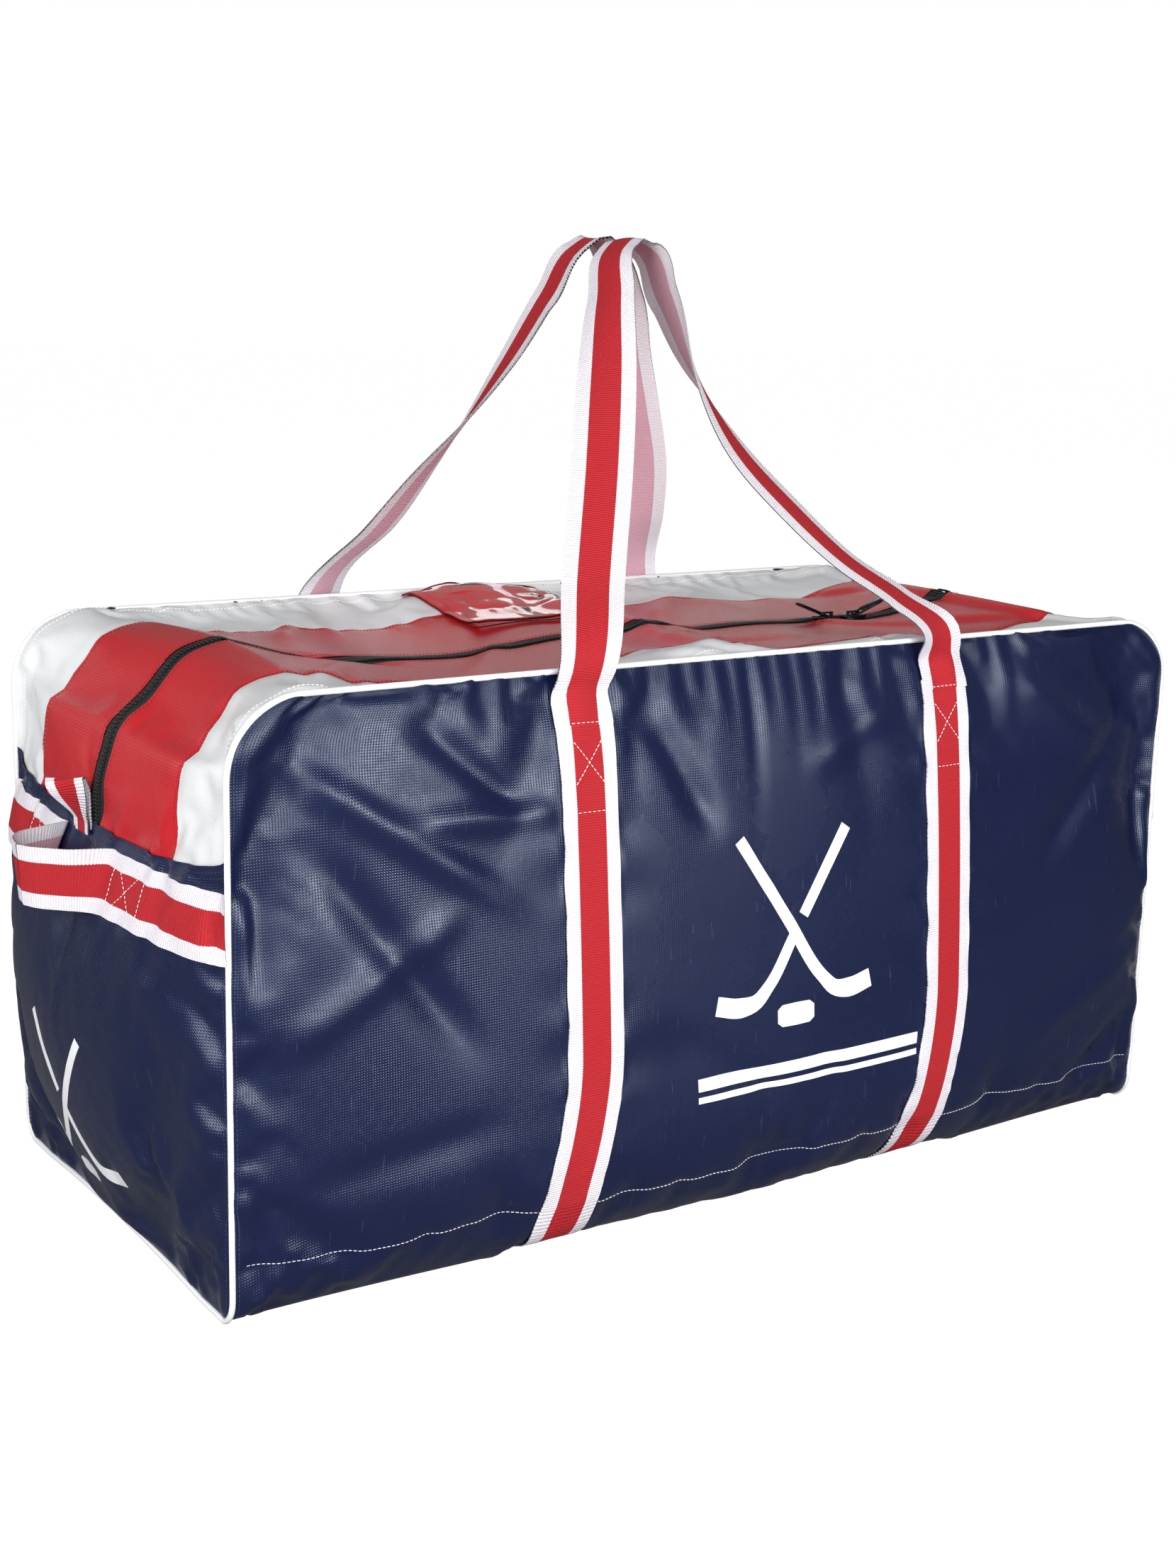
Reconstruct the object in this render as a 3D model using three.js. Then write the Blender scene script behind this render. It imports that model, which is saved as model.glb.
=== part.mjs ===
// Soft carry bag for ice hockey equipment, standing upright on its base.
// Millimetres, +Z up. The origin is on the floor under the middle of the bag, +X runs along its length
// and the front panel faces -Y. Every fabric piece is a thin closed sheet that follows the stuffed shape.
import * as THREE from 'three';

// Driving dimensions of the piped box.
const LENGTH = 957;
const DEPTH = 445;
const HEIGHT = 480;
const TOP_CORNER = 60;
const FRONT_BULGE = 38;
const FULLEST_HEIGHT = 0.2;
const FOOT_TUCK = 0.22;
const END_BULGE = 44;
const END_FLAT_FROM = 413;
const TOP_PUFF = 10;
const TOP_SAG = 8;
const CORNER_SLACK = 22;
const FOOT_AT_ENDS = 25;
const FOOT_AT_MIDDLE = 55;
const BASE_SEAM = 50;
const HEM_HIGH = 365;
const HEM_DIP = 20;

// Materials and trim.
const CLOTH = 2;
const GAP = 0.3;
const SEAT = 0.8;
const EDGE = 2.5;
const PIPING_RADIUS = 2.1;
const WEBBING = 50;
const WEBBING_THICK = 1.8;
const STRAP_X = 185;
const STRAP_TOP = 445;
const HANDLE_CREST = 811;
const GRIP_Z = 311;
const GRIP_HALF = 50;
const GRIP_STANDOFF = 14;
const GRIP_REACH = 56;
const SEAM_RED_WHITE = 138;
const ZIP_HALF = 14;
const ZIP_SLOT = 1.1;
const TEETH_HALF = 4;
const MOUTH_END = 392;
const SLIDER_A_X = 250;
const SLIDER_B_X = 284;
const SLIDER_HALF_LENGTH = 15;
const SLIDER_HALF_WIDTH = 6.5;

const COLORS = {
  navy: [0x0d1536, 0.32],
  red: [0xc8202b, 0.35],
  white: [0xe4e6e8, 0.4],
  webbing: [0xd42a33, 0.8],
  piping: [0xeceef0, 0.45],
  black: [0x121214, 0.6],
  metal: [0x1a1a1c, 0.4],
  vinyl: [0xdfe3e6, 0.1],
};

const bag = new THREE.Group();

function add(name, geometry, color) {
  const [hex, roughness] = COLORS[color];
  const metalness = color === 'metal' ? 0.7 : 0;
  const mesh = new THREE.Mesh(geometry, new THREE.MeshStandardMaterial({ color: hex, roughness, metalness }));
  mesh.name = name;
  bag.add(mesh);
  return mesh;
}

const clamp = (value) => Math.min(1, Math.max(0, value));
const range = (from, to, count) => Array.from({ length: count }, (_, i) => from + (to - from) * i / (count - 1));

// A closed solid between two grids of points, the outer face and the inner face of one sheet.
function slab(nu, nv, outerAt, innerAt) {
  const positions = [];
  const index = [];
  for (const at of [outerAt, innerAt]) {
    for (let i = 0; i < nu; i += 1) {
      for (let j = 0; j < nv; j += 1) positions.push(...at(i, j));
    }
  }
  const id = (side, i, j) => side * nu * nv + i * nv + j;
  const quad = (a, b, c, d) => index.push(a, b, c, a, c, d);
  for (let i = 0; i + 1 < nu; i += 1) {
    for (let j = 0; j + 1 < nv; j += 1) {
      quad(id(0, i, j), id(0, i + 1, j), id(0, i + 1, j + 1), id(0, i, j + 1));
      quad(id(1, i, j), id(1, i, j + 1), id(1, i + 1, j + 1), id(1, i + 1, j));
    }
    quad(id(0, i, 0), id(1, i, 0), id(1, i + 1, 0), id(0, i + 1, 0));
    quad(id(0, i, nv - 1), id(0, i + 1, nv - 1), id(1, i + 1, nv - 1), id(1, i, nv - 1));
  }
  for (let j = 0; j + 1 < nv; j += 1) {
    quad(id(0, 0, j), id(0, 0, j + 1), id(1, 0, j + 1), id(1, 0, j));
    quad(id(0, nu - 1, j), id(1, nu - 1, j), id(1, nu - 1, j + 1), id(0, nu - 1, j + 1));
  }
  if (signedVolume(positions, index) < 0) index.reverse();
  const geometry = new THREE.BufferGeometry();
  geometry.setAttribute('position', new THREE.Float32BufferAttribute(positions, 3));
  geometry.setIndex(index);
  geometry.computeVertexNormals();
  return geometry;
}

function signedVolume(positions, index) {
  const corner = (k) => new THREE.Vector3().fromArray(positions, 3 * index[k]);
  let sum = 0;
  for (let k = 0; k < index.length; k += 3) sum += corner(k).dot(corner(k + 1).cross(corner(k + 2)));
  return sum;
}

// A ribbon of webbing through stations that give its middle line, its width direction and its outer normal.
function ribbon(stations, width) {
  const at = (side) => (i, j) => {
    const { middle, across, normal } = stations[i];
    return middle.clone()
      .addScaledVector(across, (j - 0.5) * width)
      .addScaledVector(normal, side * WEBBING_THICK / 2)
      .toArray();
  };
  return slab(stations.length, 2, at(1), at(-1));
}

// A curve that an extrusion follows station by station.
class StationCurve extends THREE.Curve {
  constructor(points) {
    super();
    this.points = points;
  }

  getPoint(t) {
    const place = t * (this.points.length - 1);
    const i = Math.min(Math.floor(place), this.points.length - 2);
    return this.points[i].clone().lerp(this.points[i + 1], place - i);
  }

  getPointAt(t) {
    return this.getPoint(t);
  }

  getTangentAt(t) {
    return this.getTangent(t);
  }
}

function cordAlong(points, radius) {
  const circle = new THREE.Shape();
  circle.absarc(0, 0, radius, 0, 2 * Math.PI);
  const options = { steps: points.length - 1, curveSegments: 3, bevelEnabled: false };
  return new THREE.ExtrudeGeometry(circle, { ...options, extrudePath: new StationCurve(points) });
}

// Shape of the stuffed bag: how far the front and the ends stand out from the piped box.
function frontBulge(x, z) {
  const along = Math.max(0, 1 - (2 * x / LENGTH) ** 2) ** 0.9;
  const height = clamp(z / HEIGHT);
  const low = clamp(height / FULLEST_HEIGHT);
  const tucked = 1 - FOOT_TUCK * (1 - low * low * (3 - 2 * low));
  return FRONT_BULGE * along * tucked * (1 - height ** 1.6) / (1 - FULLEST_HEIGHT ** 1.6);
}

function endBulge(y, z) {
  const across = Math.max(0, 1 - (2 * y / DEPTH) ** 2);
  return END_BULGE * across * Math.sin(Math.PI * clamp(z / END_FLAT_FROM) ** 0.85) ** 1.5;
}

function footRadius(x) {
  return FOOT_AT_ENDS + (FOOT_AT_MIDDLE - FOOT_AT_ENDS) * (1 - (2 * x / LENGTH) ** 4);
}

// One lengthwise slice of the wrap. turn 0 is the upright front, 0 to 1 the roll of the foot, above 1 the floor.
function wrapPoint(x, height, turn, inward, side) {
  const radius = footRadius(x);
  const face = DEPTH / 2 + frontBulge(x, Math.max(height, radius));
  if (turn <= 0) return [x, side * (face - inward), height];
  const angle = Math.min(turn, 1) * Math.PI / 2;
  const centre = face - radius;
  const floor = Math.max(0, turn - 1) * centre;
  const reach = radius - inward;
  return [x, side * (centre - floor + reach * Math.cos(angle)), radius - reach * Math.sin(angle)];
}

const turnAtBaseSeam = (x) => {
  const radius = footRadius(x);
  return radius > BASE_SEAM ? Math.asin(1 - BASE_SEAM / radius) * 2 / Math.PI : 0;
};

// Rows from the base seam down the roll and out to the middle of the floor, as [height, turn].
function footRow(x, step) {
  const radius = footRadius(x);
  const first = turnAtBaseSeam(x);
  if (step === 0) return [Math.max(BASE_SEAM, radius), first];
  if (step <= 5) return [radius, first + (1 - first) * step / 5];
  return [radius, 1 + (step - 5) / 2];
}

// Straps sink flush into the base: 0 on the upright wall, 1 under the floor.
function sink(step) {
  return clamp(step / 5);
}

// Heights that the upright walls and the straps on them share.
const WALL_ROWS = [78, 110, 160, 220, 280, 340, 400, STRAP_TOP];

// Front and back panels, from the base seam to the top piping.
function panelHalfLength(z) {
  const rise = Math.max(0, z - (HEIGHT - TOP_CORNER));
  return LENGTH / 2 - TOP_CORNER + Math.sqrt((TOP_CORNER - EDGE) ** 2 - Math.min(rise, TOP_CORNER - EDGE) ** 2);
}

function sidePanel(side) {
  const rows = [BASE_SEAM + GAP, ...WALL_ROWS, 420, 434, 458, 471, HEIGHT - EDGE].sort((a, b) => a - b);
  const steady = STRAP_X + WEBBING / 2;
  const half = [STRAP_X - WEBBING / 2, STRAP_X, steady, 260, 330, 400, 445, LENGTH / 2 - EDGE];
  const columns = [...half.map((x) => -x).reverse(), -80, 0, 80, ...half];
  const fit = (x, z) => {
    const beyond = Math.max(0, Math.abs(x) - steady) / (LENGTH / 2 - EDGE - steady);
    return Math.sign(x) * (Math.min(Math.abs(x), steady) + beyond * (panelHalfLength(z) - steady));
  };
  const at = (inward) => (i, j) => {
    const x = fit(columns[i], rows[j]);
    const radius = footRadius(x);
    const turn = rows[j] < radius ? Math.asin(1 - rows[j] / radius) * 2 / Math.PI : 0;
    return wrapPoint(x, rows[j], turn, inward, side);
  };
  return slab(columns.length, rows.length, at(0), at(CLOTH));
}

function basePanel(inset, grooved) {
  const band = WEBBING / 2;
  const edges = [band - 14, 0, 14 - band, band + 0.4, band + 0.9, -band - 0.4, -band - 0.9];
  const bands = grooved ? [-STRAP_X, STRAP_X].flatMap((middle) => edges.map((edge) => middle + edge)) : [];
  const last = LENGTH / 2 - EDGE;
  const columns = [-last, -440, -380, -300, -100, 0, 100, 300, 380, 440, last, ...bands].sort((a, b) => a - b);
  const inBand = (x) => grooved && Math.abs(Math.abs(x) - STRAP_X) < band + 0.6;
  const rows = range(0, 14, 15);
  const at = (inward) => (i, j) => {
    const x = columns[i];
    const step = Math.min(j, 14 - j);
    const [height, turn] = footRow(x, step);
    const groove = inBand(x) ? sink(step) * (WEBBING_THICK + SEAT) : 0;
    return wrapPoint(x, height, turn, inward + groove, j <= 7 ? -1 : 1);
  };
  return slab(columns.length, rows.length, at(inset), at(inset + CLOTH));
}

// End panels with a hem that dips towards the middle.
function hemHeight(y) {
  return HEM_HIGH - HEM_DIP * (1 - Math.abs(2 * y / DEPTH) ** 5);
}

function endPanel(side) {
  const lowest = 5;
  const rises = [0, 0.03, 0.07, 0.14, 0.28, 0.45, 0.62, 0.8, 1];
  const widest = DEPTH / 2 - EDGE;
  const half = [...range(ZIP_HALF, SEAM_RED_WHITE, 4), ...range(SEAM_RED_WHITE, widest, 4).slice(1)];
  const columns = [...half.map((y) => -y).reverse(), 0, ...half].map((y) => y / widest);
  const corner = FOOT_AT_ENDS - EDGE;
  const at = (inward) => (i, j) => {
    const flat = columns[i] * widest;
    const z = lowest + rises[j] * (hemHeight(flat) - lowest);
    const drop = Math.min(corner, Math.max(0, FOOT_AT_ENDS + EDGE - z));
    const half = DEPTH / 2 - FOOT_AT_ENDS + Math.sqrt(corner ** 2 - drop ** 2);
    const y = columns[i] * half;
    return [side * (LENGTH / 2 + endBulge(y, z) - inward), y, z];
  };
  return slab(columns.length, rises.length, at(0), at(CLOTH));
}

// The gusset runs up one end, over the slack top and down the other end.
function topHeight(x, y) {
  const across = 1 - (2 * y / DEPTH) ** 2;
  return HEIGHT + across * (-TOP_SAG + (TOP_PUFF + TOP_SAG) * Math.min(1, Math.abs(x) / 416) ** 2);
}

function endStrip(side, yFrom, yTo, countY) {
  const columns = range(yFrom, yTo, countY);
  const rises = [0, 0.35, 0.7, 1];
  const turns = [0.2, 0.4, 0.6, 0.8, 1];
  const rowCount = rises.length + turns.length + 1;
  const at = (inward) => (i, j) => {
    const y = columns[i];
    const across = 1 - (2 * y / DEPTH) ** 2;
    const radius = TOP_CORNER + CORNER_SLACK * across;
    const centreZ = HEIGHT + TOP_PUFF * across - radius;
    const face = LENGTH / 2 + endBulge(y, centreZ);
    const hem = hemHeight(y) + SEAT;
    if (j < rises.length) {
      const z = hem + rises[j] * (centreZ - hem);
      return [side * (LENGTH / 2 + endBulge(y, z) - inward), y, z];
    }
    if (j < rises.length + turns.length) {
      const angle = turns[j - rises.length] * Math.PI / 2;
      const reach = radius - inward;
      return [side * (face - radius + reach * Math.cos(angle)), y, centreZ + reach * Math.sin(angle)];
    }
    return [side * (MOUTH_END + GAP), y, topHeight(MOUTH_END, y) - inward];
  };
  return slab(columns.length, rowCount, at(0), at(CLOTH));
}

function topStrip(yFrom, yTo, countY, lift, thick) {
  return topPatch(-MOUTH_END, MOUTH_END, 13, yFrom, yTo, countY, lift, thick);
}

function topPatch(xFrom, xTo, countX, yFrom, yTo, countY, lift, thick) {
  const xs = range(xFrom, xTo, countX);
  const ys = range(yFrom, yTo, countY);
  const at = (height) => (i, j) => [xs[i], ys[j], topHeight(xs[i], ys[j]) + height];
  return slab(countX, countY, at(lift), at(lift - thick));
}

add('front_panel', sidePanel(-1), 'navy');
add('back_panel', sidePanel(1), 'navy');
add('base_panel', basePanel(0, true), 'navy');
add('base_liner', basePanel(CLOTH + WEBBING_THICK + 2 * SEAT, false), 'black');

const STRIP_EDGE = DEPTH / 2 - EDGE;
const LENGTH_SIDES = [['left', -1], ['right', 1]];
const DEPTH_SIDES = [['front', -1], ['rear', 1]];

for (const [end, side] of LENGTH_SIDES) {
  add(`end_panel_${end}`, endPanel(side), 'navy');
  add(`zip_end_${end}`, endStrip(side, -ZIP_HALF + GAP, ZIP_HALF - GAP, 3), 'black');
}

for (const [face, sign] of DEPTH_SIDES) {
  add(`top_red_${face}`, topStrip(sign * ZIP_HALF, sign * SEAM_RED_WHITE, 4, 0, CLOTH), 'red');
  add(`top_white_${face}`, topStrip(sign * (SEAM_RED_WHITE + GAP), sign * STRIP_EDGE, 4, 0, CLOTH), 'white');
  add(`zip_tape_${face}`, topStrip(sign * (TEETH_HALF + GAP), sign * (ZIP_HALF - GAP), 2, -0.4, 1.2), 'black');
  add(`zip_teeth_${face}`, topStrip(sign * ZIP_SLOT, sign * TEETH_HALF, 2, 0.6, 2.6), 'black');
  for (const [end, side] of LENGTH_SIDES) {
    add(`end_red_${face}_${end}`, endStrip(side, sign * ZIP_HALF, sign * SEAM_RED_WHITE, 4), 'red');
    add(`end_white_${face}_${end}`, endStrip(side, sign * (SEAM_RED_WHITE + GAP), sign * STRIP_EDGE, 4), 'white');
  }
}

// Clear name card window on the rear half of the top, with a bound edge on each side.
const WINDOW = { left: -95, right: 55, near: 78, far: 208, binding: 8 };
const inner = {
  left: WINDOW.left + WINDOW.binding,
  right: WINDOW.right - WINDOW.binding,
  near: WINDOW.near + WINDOW.binding,
  far: WINDOW.far - WINDOW.binding,
};
const windowPatch = (left, right, near, far, thick) => (
  topPatch(left + GAP, right - GAP, 4, near + GAP, far - GAP, 3, 0.5 + thick, thick)
);
add('window_sheet', windowPatch(inner.left, inner.right, inner.near, inner.far, 1), 'vinyl');
add('window_edge_near', windowPatch(WINDOW.left, WINDOW.right, WINDOW.near, inner.near, 2), 'red');
add('window_edge_far', windowPatch(WINDOW.left, WINDOW.right, inner.far, WINDOW.far, 2), 'red');
add('window_edge_left', windowPatch(WINDOW.left, inner.left, inner.near, inner.far, 2), 'red');
add('window_edge_right', windowPatch(inner.right, WINDOW.right, inner.near, inner.far, 2), 'red');

// White piping along the edges of the wrap.
function pipingRoute(side) {
  const face = side * DEPTH / 2;
  const route = [];
  for (const turn of range(0, 1, 6)) {
    const angle = turn * Math.PI / 2;
    const inwards = FOOT_AT_ENDS * (1 - Math.sin(angle));
    const height = FOOT_AT_ENDS * (1 - Math.cos(angle)) + EDGE;
    route.push([-LENGTH / 2, face - side * inwards, height]);
  }
  for (const z of range(100, 360, 4)) route.push([-LENGTH / 2, face, z]);
  for (const turn of range(0, 1, 11)) {
    const angle = turn * Math.PI / 2;
    const x = -LENGTH / 2 + TOP_CORNER * (1 - Math.cos(angle));
    route.push([x, face, HEIGHT - TOP_CORNER * (1 - Math.sin(angle))]);
  }
  const left = route.map(([x, y, z]) => new THREE.Vector3(x, y, z));
  const right = route.map(([x, y, z]) => new THREE.Vector3(-x, y, z)).reverse();
  return [...left, ...range(-300, 300, 5).map((x) => new THREE.Vector3(x, face, HEIGHT)), ...right];
}

for (const [face, side] of DEPTH_SIDES) add(`piping_${face}`, cordAlong(pipingRoute(side), PIPING_RADIUS), 'piping');
for (const [end, side] of LENGTH_SIDES) {
  const half = DEPTH / 2 - FOOT_AT_ENDS - GAP;
  const route = range(-half, half, 5).map((y) => new THREE.Vector3(side * LENGTH / 2, y, EDGE));
  add(`piping_base_${end}`, cordAlong(route, PIPING_RADIUS), 'piping');
}

// Girth straps: sewn up the front, round under the base and up the back.
function girthStrap(middle) {
  const columns = [-0.5, 0, 0.5].map((share) => middle + share * WEBBING);
  const walls = [...WALL_ROWS].reverse();
  const rowCount = 2 * walls.length + 15;
  const at = (outward) => (i, j) => {
    const x = columns[i];
    const side = j < rowCount / 2 ? -1 : 1;
    const k = side < 0 ? j : rowCount - 1 - j;
    if (k < walls.length) return wrapPoint(x, walls[k], 0, -SEAT - outward, side);
    const step = k - walls.length;
    const [height, turn] = footRow(x, step);
    const sunk = sink(step) * (WEBBING_THICK + SEAT);
    return wrapPoint(x, height, turn, sunk - SEAT - outward, side);
  };
  return slab(columns.length, rowCount, at(WEBBING_THICK), at(0));
}

for (const [end, side] of LENGTH_SIDES) add(`girth_strap_${end}`, girthStrap(side * STRAP_X), 'webbing');

// Carry handles: the free loops of the two girth straps, held up together at one point over the bag. Each leg
// leaves its strap upright and makes a quarter turn, so that the crest lies flat. The slacker legs sag inwards.
const HANDLE_ROOT = DEPTH / 2 + frontBulge(STRAP_X, STRAP_TOP) + SEAT + WEBBING_THICK / 2;
const CREST = [-14, WEBBING / 2 + 2, HANDLE_CREST];
const HANDLE_LEGS = {
  front: {
    left: [[-181, 229, 492], [-152, 193, 546], [-113, 143, 628], [-80, 97, 702], [-53, 58, 762], [-30, 31, 802]],
    right: [[180, 229, 490], [151, 213, 517], [110, 189, 548], [70, 162, 590], [34, 132, 638], [12, 98, 698],
      [6, 58, 762], [1, 31, 802]],
  },
  rear: {
    left: [[-180, 229, 492], [-150, 190, 555], [-118, 158, 600], [-84, 130, 645], [-58, 96, 702], [-40, 58, 762],
      [-28, 31, 802]],
    right: [[181, 229, 492], [160, 192, 548], [134, 155, 606], [102, 124, 658], [68, 92, 712], [34, 54, 768],
      [2, 31, 802]],
  },
};

function carryHandle(side, { left, right }) {
  const root = (x) => [[x, HANDLE_ROOT, STRAP_TOP + 1], [x, HANDLE_ROOT, 466]];
  const points = [...root(-STRAP_X), ...left, CREST, ...[...root(STRAP_X), ...right].reverse()];
  const crestShare = (left.length + 2) / (points.length - 1);
  const curve = new THREE.CatmullRomCurve3(points.map(([x, y, z]) => new THREE.Vector3(x, side * y, z)));
  const count = 45;
  const stations = range(0, 1, count).map((t) => {
    const middle = curve.getPoint(t);
    const tangent = curve.getTangent(t);
    const rise = clamp((middle.z - 540) / 240);
    const quarter = rise * rise * (3 - 2 * rise) * Math.PI / 2;
    const turn = t < crestShare ? quarter : Math.PI - quarter;
    const across = new THREE.Vector3(Math.cos(turn), side * Math.sin(turn), 0);
    across.addScaledVector(tangent, -across.dot(tangent)).normalize();
    return { middle, across, normal: new THREE.Vector3().crossVectors(across, tangent) };
  });
  return ribbon(stations, WEBBING);
}

for (const [face, side] of DEPTH_SIDES) add(`carry_handle_${face}`, carryHandle(side, HANDLE_LEGS[face]), 'webbing');

// End grips: two sewn lengths of webbing on each end panel with a free loop between them.
function gripStrap(end, side) {
  const ys = range(side * (GRIP_HALF + GAP), side * (DEPTH / 2 - EDGE - GAP), 6);
  const zs = range(GRIP_Z - WEBBING / 2, GRIP_Z + WEBBING / 2, 6);
  const at = (outward) => (i, j) => [end * (LENGTH / 2 + endBulge(ys[i], zs[j]) + 2 * SEAT + outward), ys[i], zs[j]];
  return slab(ys.length, zs.length, at(WEBBING_THICK), at(0));
}

function gripLoop(end) {
  const root = LENGTH / 2 + endBulge(GRIP_HALF, GRIP_Z);
  const stations = range(-1, 1, 13).map((share) => {
    const middle = new THREE.Vector3();
    middle.x = end * (root + GRIP_STANDOFF + (GRIP_REACH - GRIP_STANDOFF) * Math.cos(share * Math.PI / 2) ** 0.7);
    middle.y = share * GRIP_HALF;
    middle.z = GRIP_Z;
    return { middle, across: new THREE.Vector3(0, 0, 1), normal: new THREE.Vector3(end, 0, 0) };
  });
  return ribbon(stations, WEBBING);
}

// Short webbing tab at each end of the zip, held by the hem of the end panel.
const TAB = { width: 30, length: 34, thick: 3.4, lean: 25 * Math.PI / 180 };

function zipTab(end) {
  const root = new THREE.Vector3(end * (LENGTH / 2 + endBulge(0, hemHeight(0)) + TAB.thick / 2 + 2), 0, hemHeight(0) + 1);
  const rise = new THREE.Vector3(end * Math.sin(TAB.lean), 0, Math.cos(TAB.lean));
  const out = new THREE.Vector3(end * Math.cos(TAB.lean), 0, -Math.sin(TAB.lean));
  const at = (face) => (i, j) => root.clone()
    .addScaledVector(rise, i * TAB.length / 3)
    .addScaledVector(out, face * TAB.thick / 2)
    .add(new THREE.Vector3(0, (j - 0.5) * TAB.width, 0))
    .toArray();
  return slab(4, 2, at(1), at(-1));
}

for (const [end, side] of LENGTH_SIDES) {
  add(`grip_${end}`, gripLoop(side), 'webbing');
  add(`zip_tab_${end}`, zipTab(side), 'webbing');
  for (const [face, sign] of DEPTH_SIDES) add(`grip_strap_${face}_${end}`, gripStrap(side, sign), 'webbing');
}

// Zip sliders, nose to nose, each with a plate above the teeth, a post between them and a plate below.
function sliderBody() {
  const plate = new THREE.Shape();
  const nose = SLIDER_HALF_LENGTH;
  const wide = SLIDER_HALF_WIDTH;
  plate.moveTo(-nose, 0.55 * wide);
  plate.quadraticCurveTo(0, 1.35 * wide, nose, 0.55 * wide);
  plate.lineTo(nose, -0.55 * wide);
  plate.quadraticCurveTo(0, -1.35 * wide, -nose, -0.55 * wide);
  plate.closePath();
  return new THREE.ExtrudeGeometry(plate, { depth: 2, curveSegments: 6, bevelEnabled: false });
}

function pullTab(direction) {
  const outline = new THREE.Shape();
  const reach = direction * 34;
  outline.moveTo(0, -3.2);
  outline.lineTo(reach, -4.6);
  outline.lineTo(reach + direction * 3, 0);
  outline.lineTo(reach, 4.6);
  outline.lineTo(0, 3.2);
  outline.closePath();
  return new THREE.ExtrudeGeometry(outline, { depth: 1.6, bevelEnabled: false });
}

for (const [name, x, direction] of [['a', SLIDER_A_X, -1], ['b', SLIDER_B_X, 1]]) {
  const surface = topHeight(x, 0) + 0.6;
  const body = add(`slider_${name}`, sliderBody(), 'metal');
  body.position.set(x, 0, surface + 1.2);
  const pull = add(`slider_pull_${name}`, pullTab(direction), 'metal');
  pull.position.set(x + direction * 3, 0, surface + 4.6);
  pull.rotation.y = -direction * Math.PI / 12;
}

export default bag;
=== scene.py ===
import math

import bmesh
import bpy
import numpy as np
from mathutils import Matrix, Vector


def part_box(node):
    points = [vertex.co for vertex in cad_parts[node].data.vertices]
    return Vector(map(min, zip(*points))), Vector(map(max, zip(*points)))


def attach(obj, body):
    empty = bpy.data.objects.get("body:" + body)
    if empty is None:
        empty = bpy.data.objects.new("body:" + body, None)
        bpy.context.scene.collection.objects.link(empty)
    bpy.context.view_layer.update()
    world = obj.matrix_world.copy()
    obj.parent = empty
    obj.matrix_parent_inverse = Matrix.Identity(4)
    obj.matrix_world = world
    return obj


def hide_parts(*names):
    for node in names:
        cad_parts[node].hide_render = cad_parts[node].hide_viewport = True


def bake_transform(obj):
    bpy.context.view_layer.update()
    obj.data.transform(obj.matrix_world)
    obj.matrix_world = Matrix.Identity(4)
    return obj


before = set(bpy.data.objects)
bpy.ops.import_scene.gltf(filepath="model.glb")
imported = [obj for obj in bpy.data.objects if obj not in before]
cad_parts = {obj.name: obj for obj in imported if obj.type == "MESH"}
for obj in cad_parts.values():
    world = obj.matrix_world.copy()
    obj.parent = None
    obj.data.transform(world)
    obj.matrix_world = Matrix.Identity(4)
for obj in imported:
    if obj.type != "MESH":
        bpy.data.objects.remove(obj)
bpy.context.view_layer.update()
scene = bpy.context.scene

# --- Studio -------------------------------------------------------------------------------------
# A white sweep under soft boxes. The camera stands off the left front corner of the bag, a little
# above its top, and looks slightly down.
CAMERA_PLACE = Vector((-1.0853, -1.5819, 0.7591))
CAMERA_YAW, CAMERA_PITCH, CAMERA_ROLL = (math.radians(a) for a in (33.89, -12.76, 1.47))
CAMERA_LENS_MM = 49.1


def camera_turn(yaw, pitch, roll):
    ahead = Vector((math.sin(yaw) * math.cos(pitch), math.cos(yaw) * math.cos(pitch), math.sin(pitch)))
    level = Vector((math.cos(yaw), -math.sin(yaw), 0))
    upright = level.cross(ahead)
    right = level * math.cos(roll) + upright * math.sin(roll)
    up = upright * math.cos(roll) - level * math.sin(roll)
    return Matrix((right, up, -ahead)).transposed()


lens = bpy.data.cameras.new("studio_camera")
lens.lens = CAMERA_LENS_MM
lens.sensor_width = 36
lens.clip_start, lens.clip_end = 0.05, 60
camera = bpy.data.objects.new("studio_camera", lens)
turn = camera_turn(CAMERA_YAW, CAMERA_PITCH, CAMERA_ROLL).to_4x4()
camera.matrix_world = Matrix.Translation(CAMERA_PLACE) @ turn
scene.collection.objects.link(camera)
scene.camera = camera
scene.view_settings.view_transform = "Standard"


def new_material(name):
    material = bpy.data.materials.new(name)
    material.use_nodes = True
    nodes = material.node_tree.nodes
    nodes.clear()
    shader = nodes.new("ShaderNodeBsdfPrincipled")
    output = nodes.new("ShaderNodeOutputMaterial")
    material.node_tree.links.new(shader.outputs["BSDF"], output.inputs["Surface"])
    return material, shader


def soft_box(name, place, aim, size, power):
    data = bpy.data.lights.new(name, "AREA")
    data.shape = "RECTANGLE"
    data.size, data.size_y = size
    data.energy = power
    lamp = bpy.data.objects.new(name, data)
    lamp.location = place
    lamp.rotation_euler = (Vector(aim) - Vector(place)).to_track_quat("-Z", "Y").to_euler()
    scene.collection.objects.link(lamp)


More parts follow.
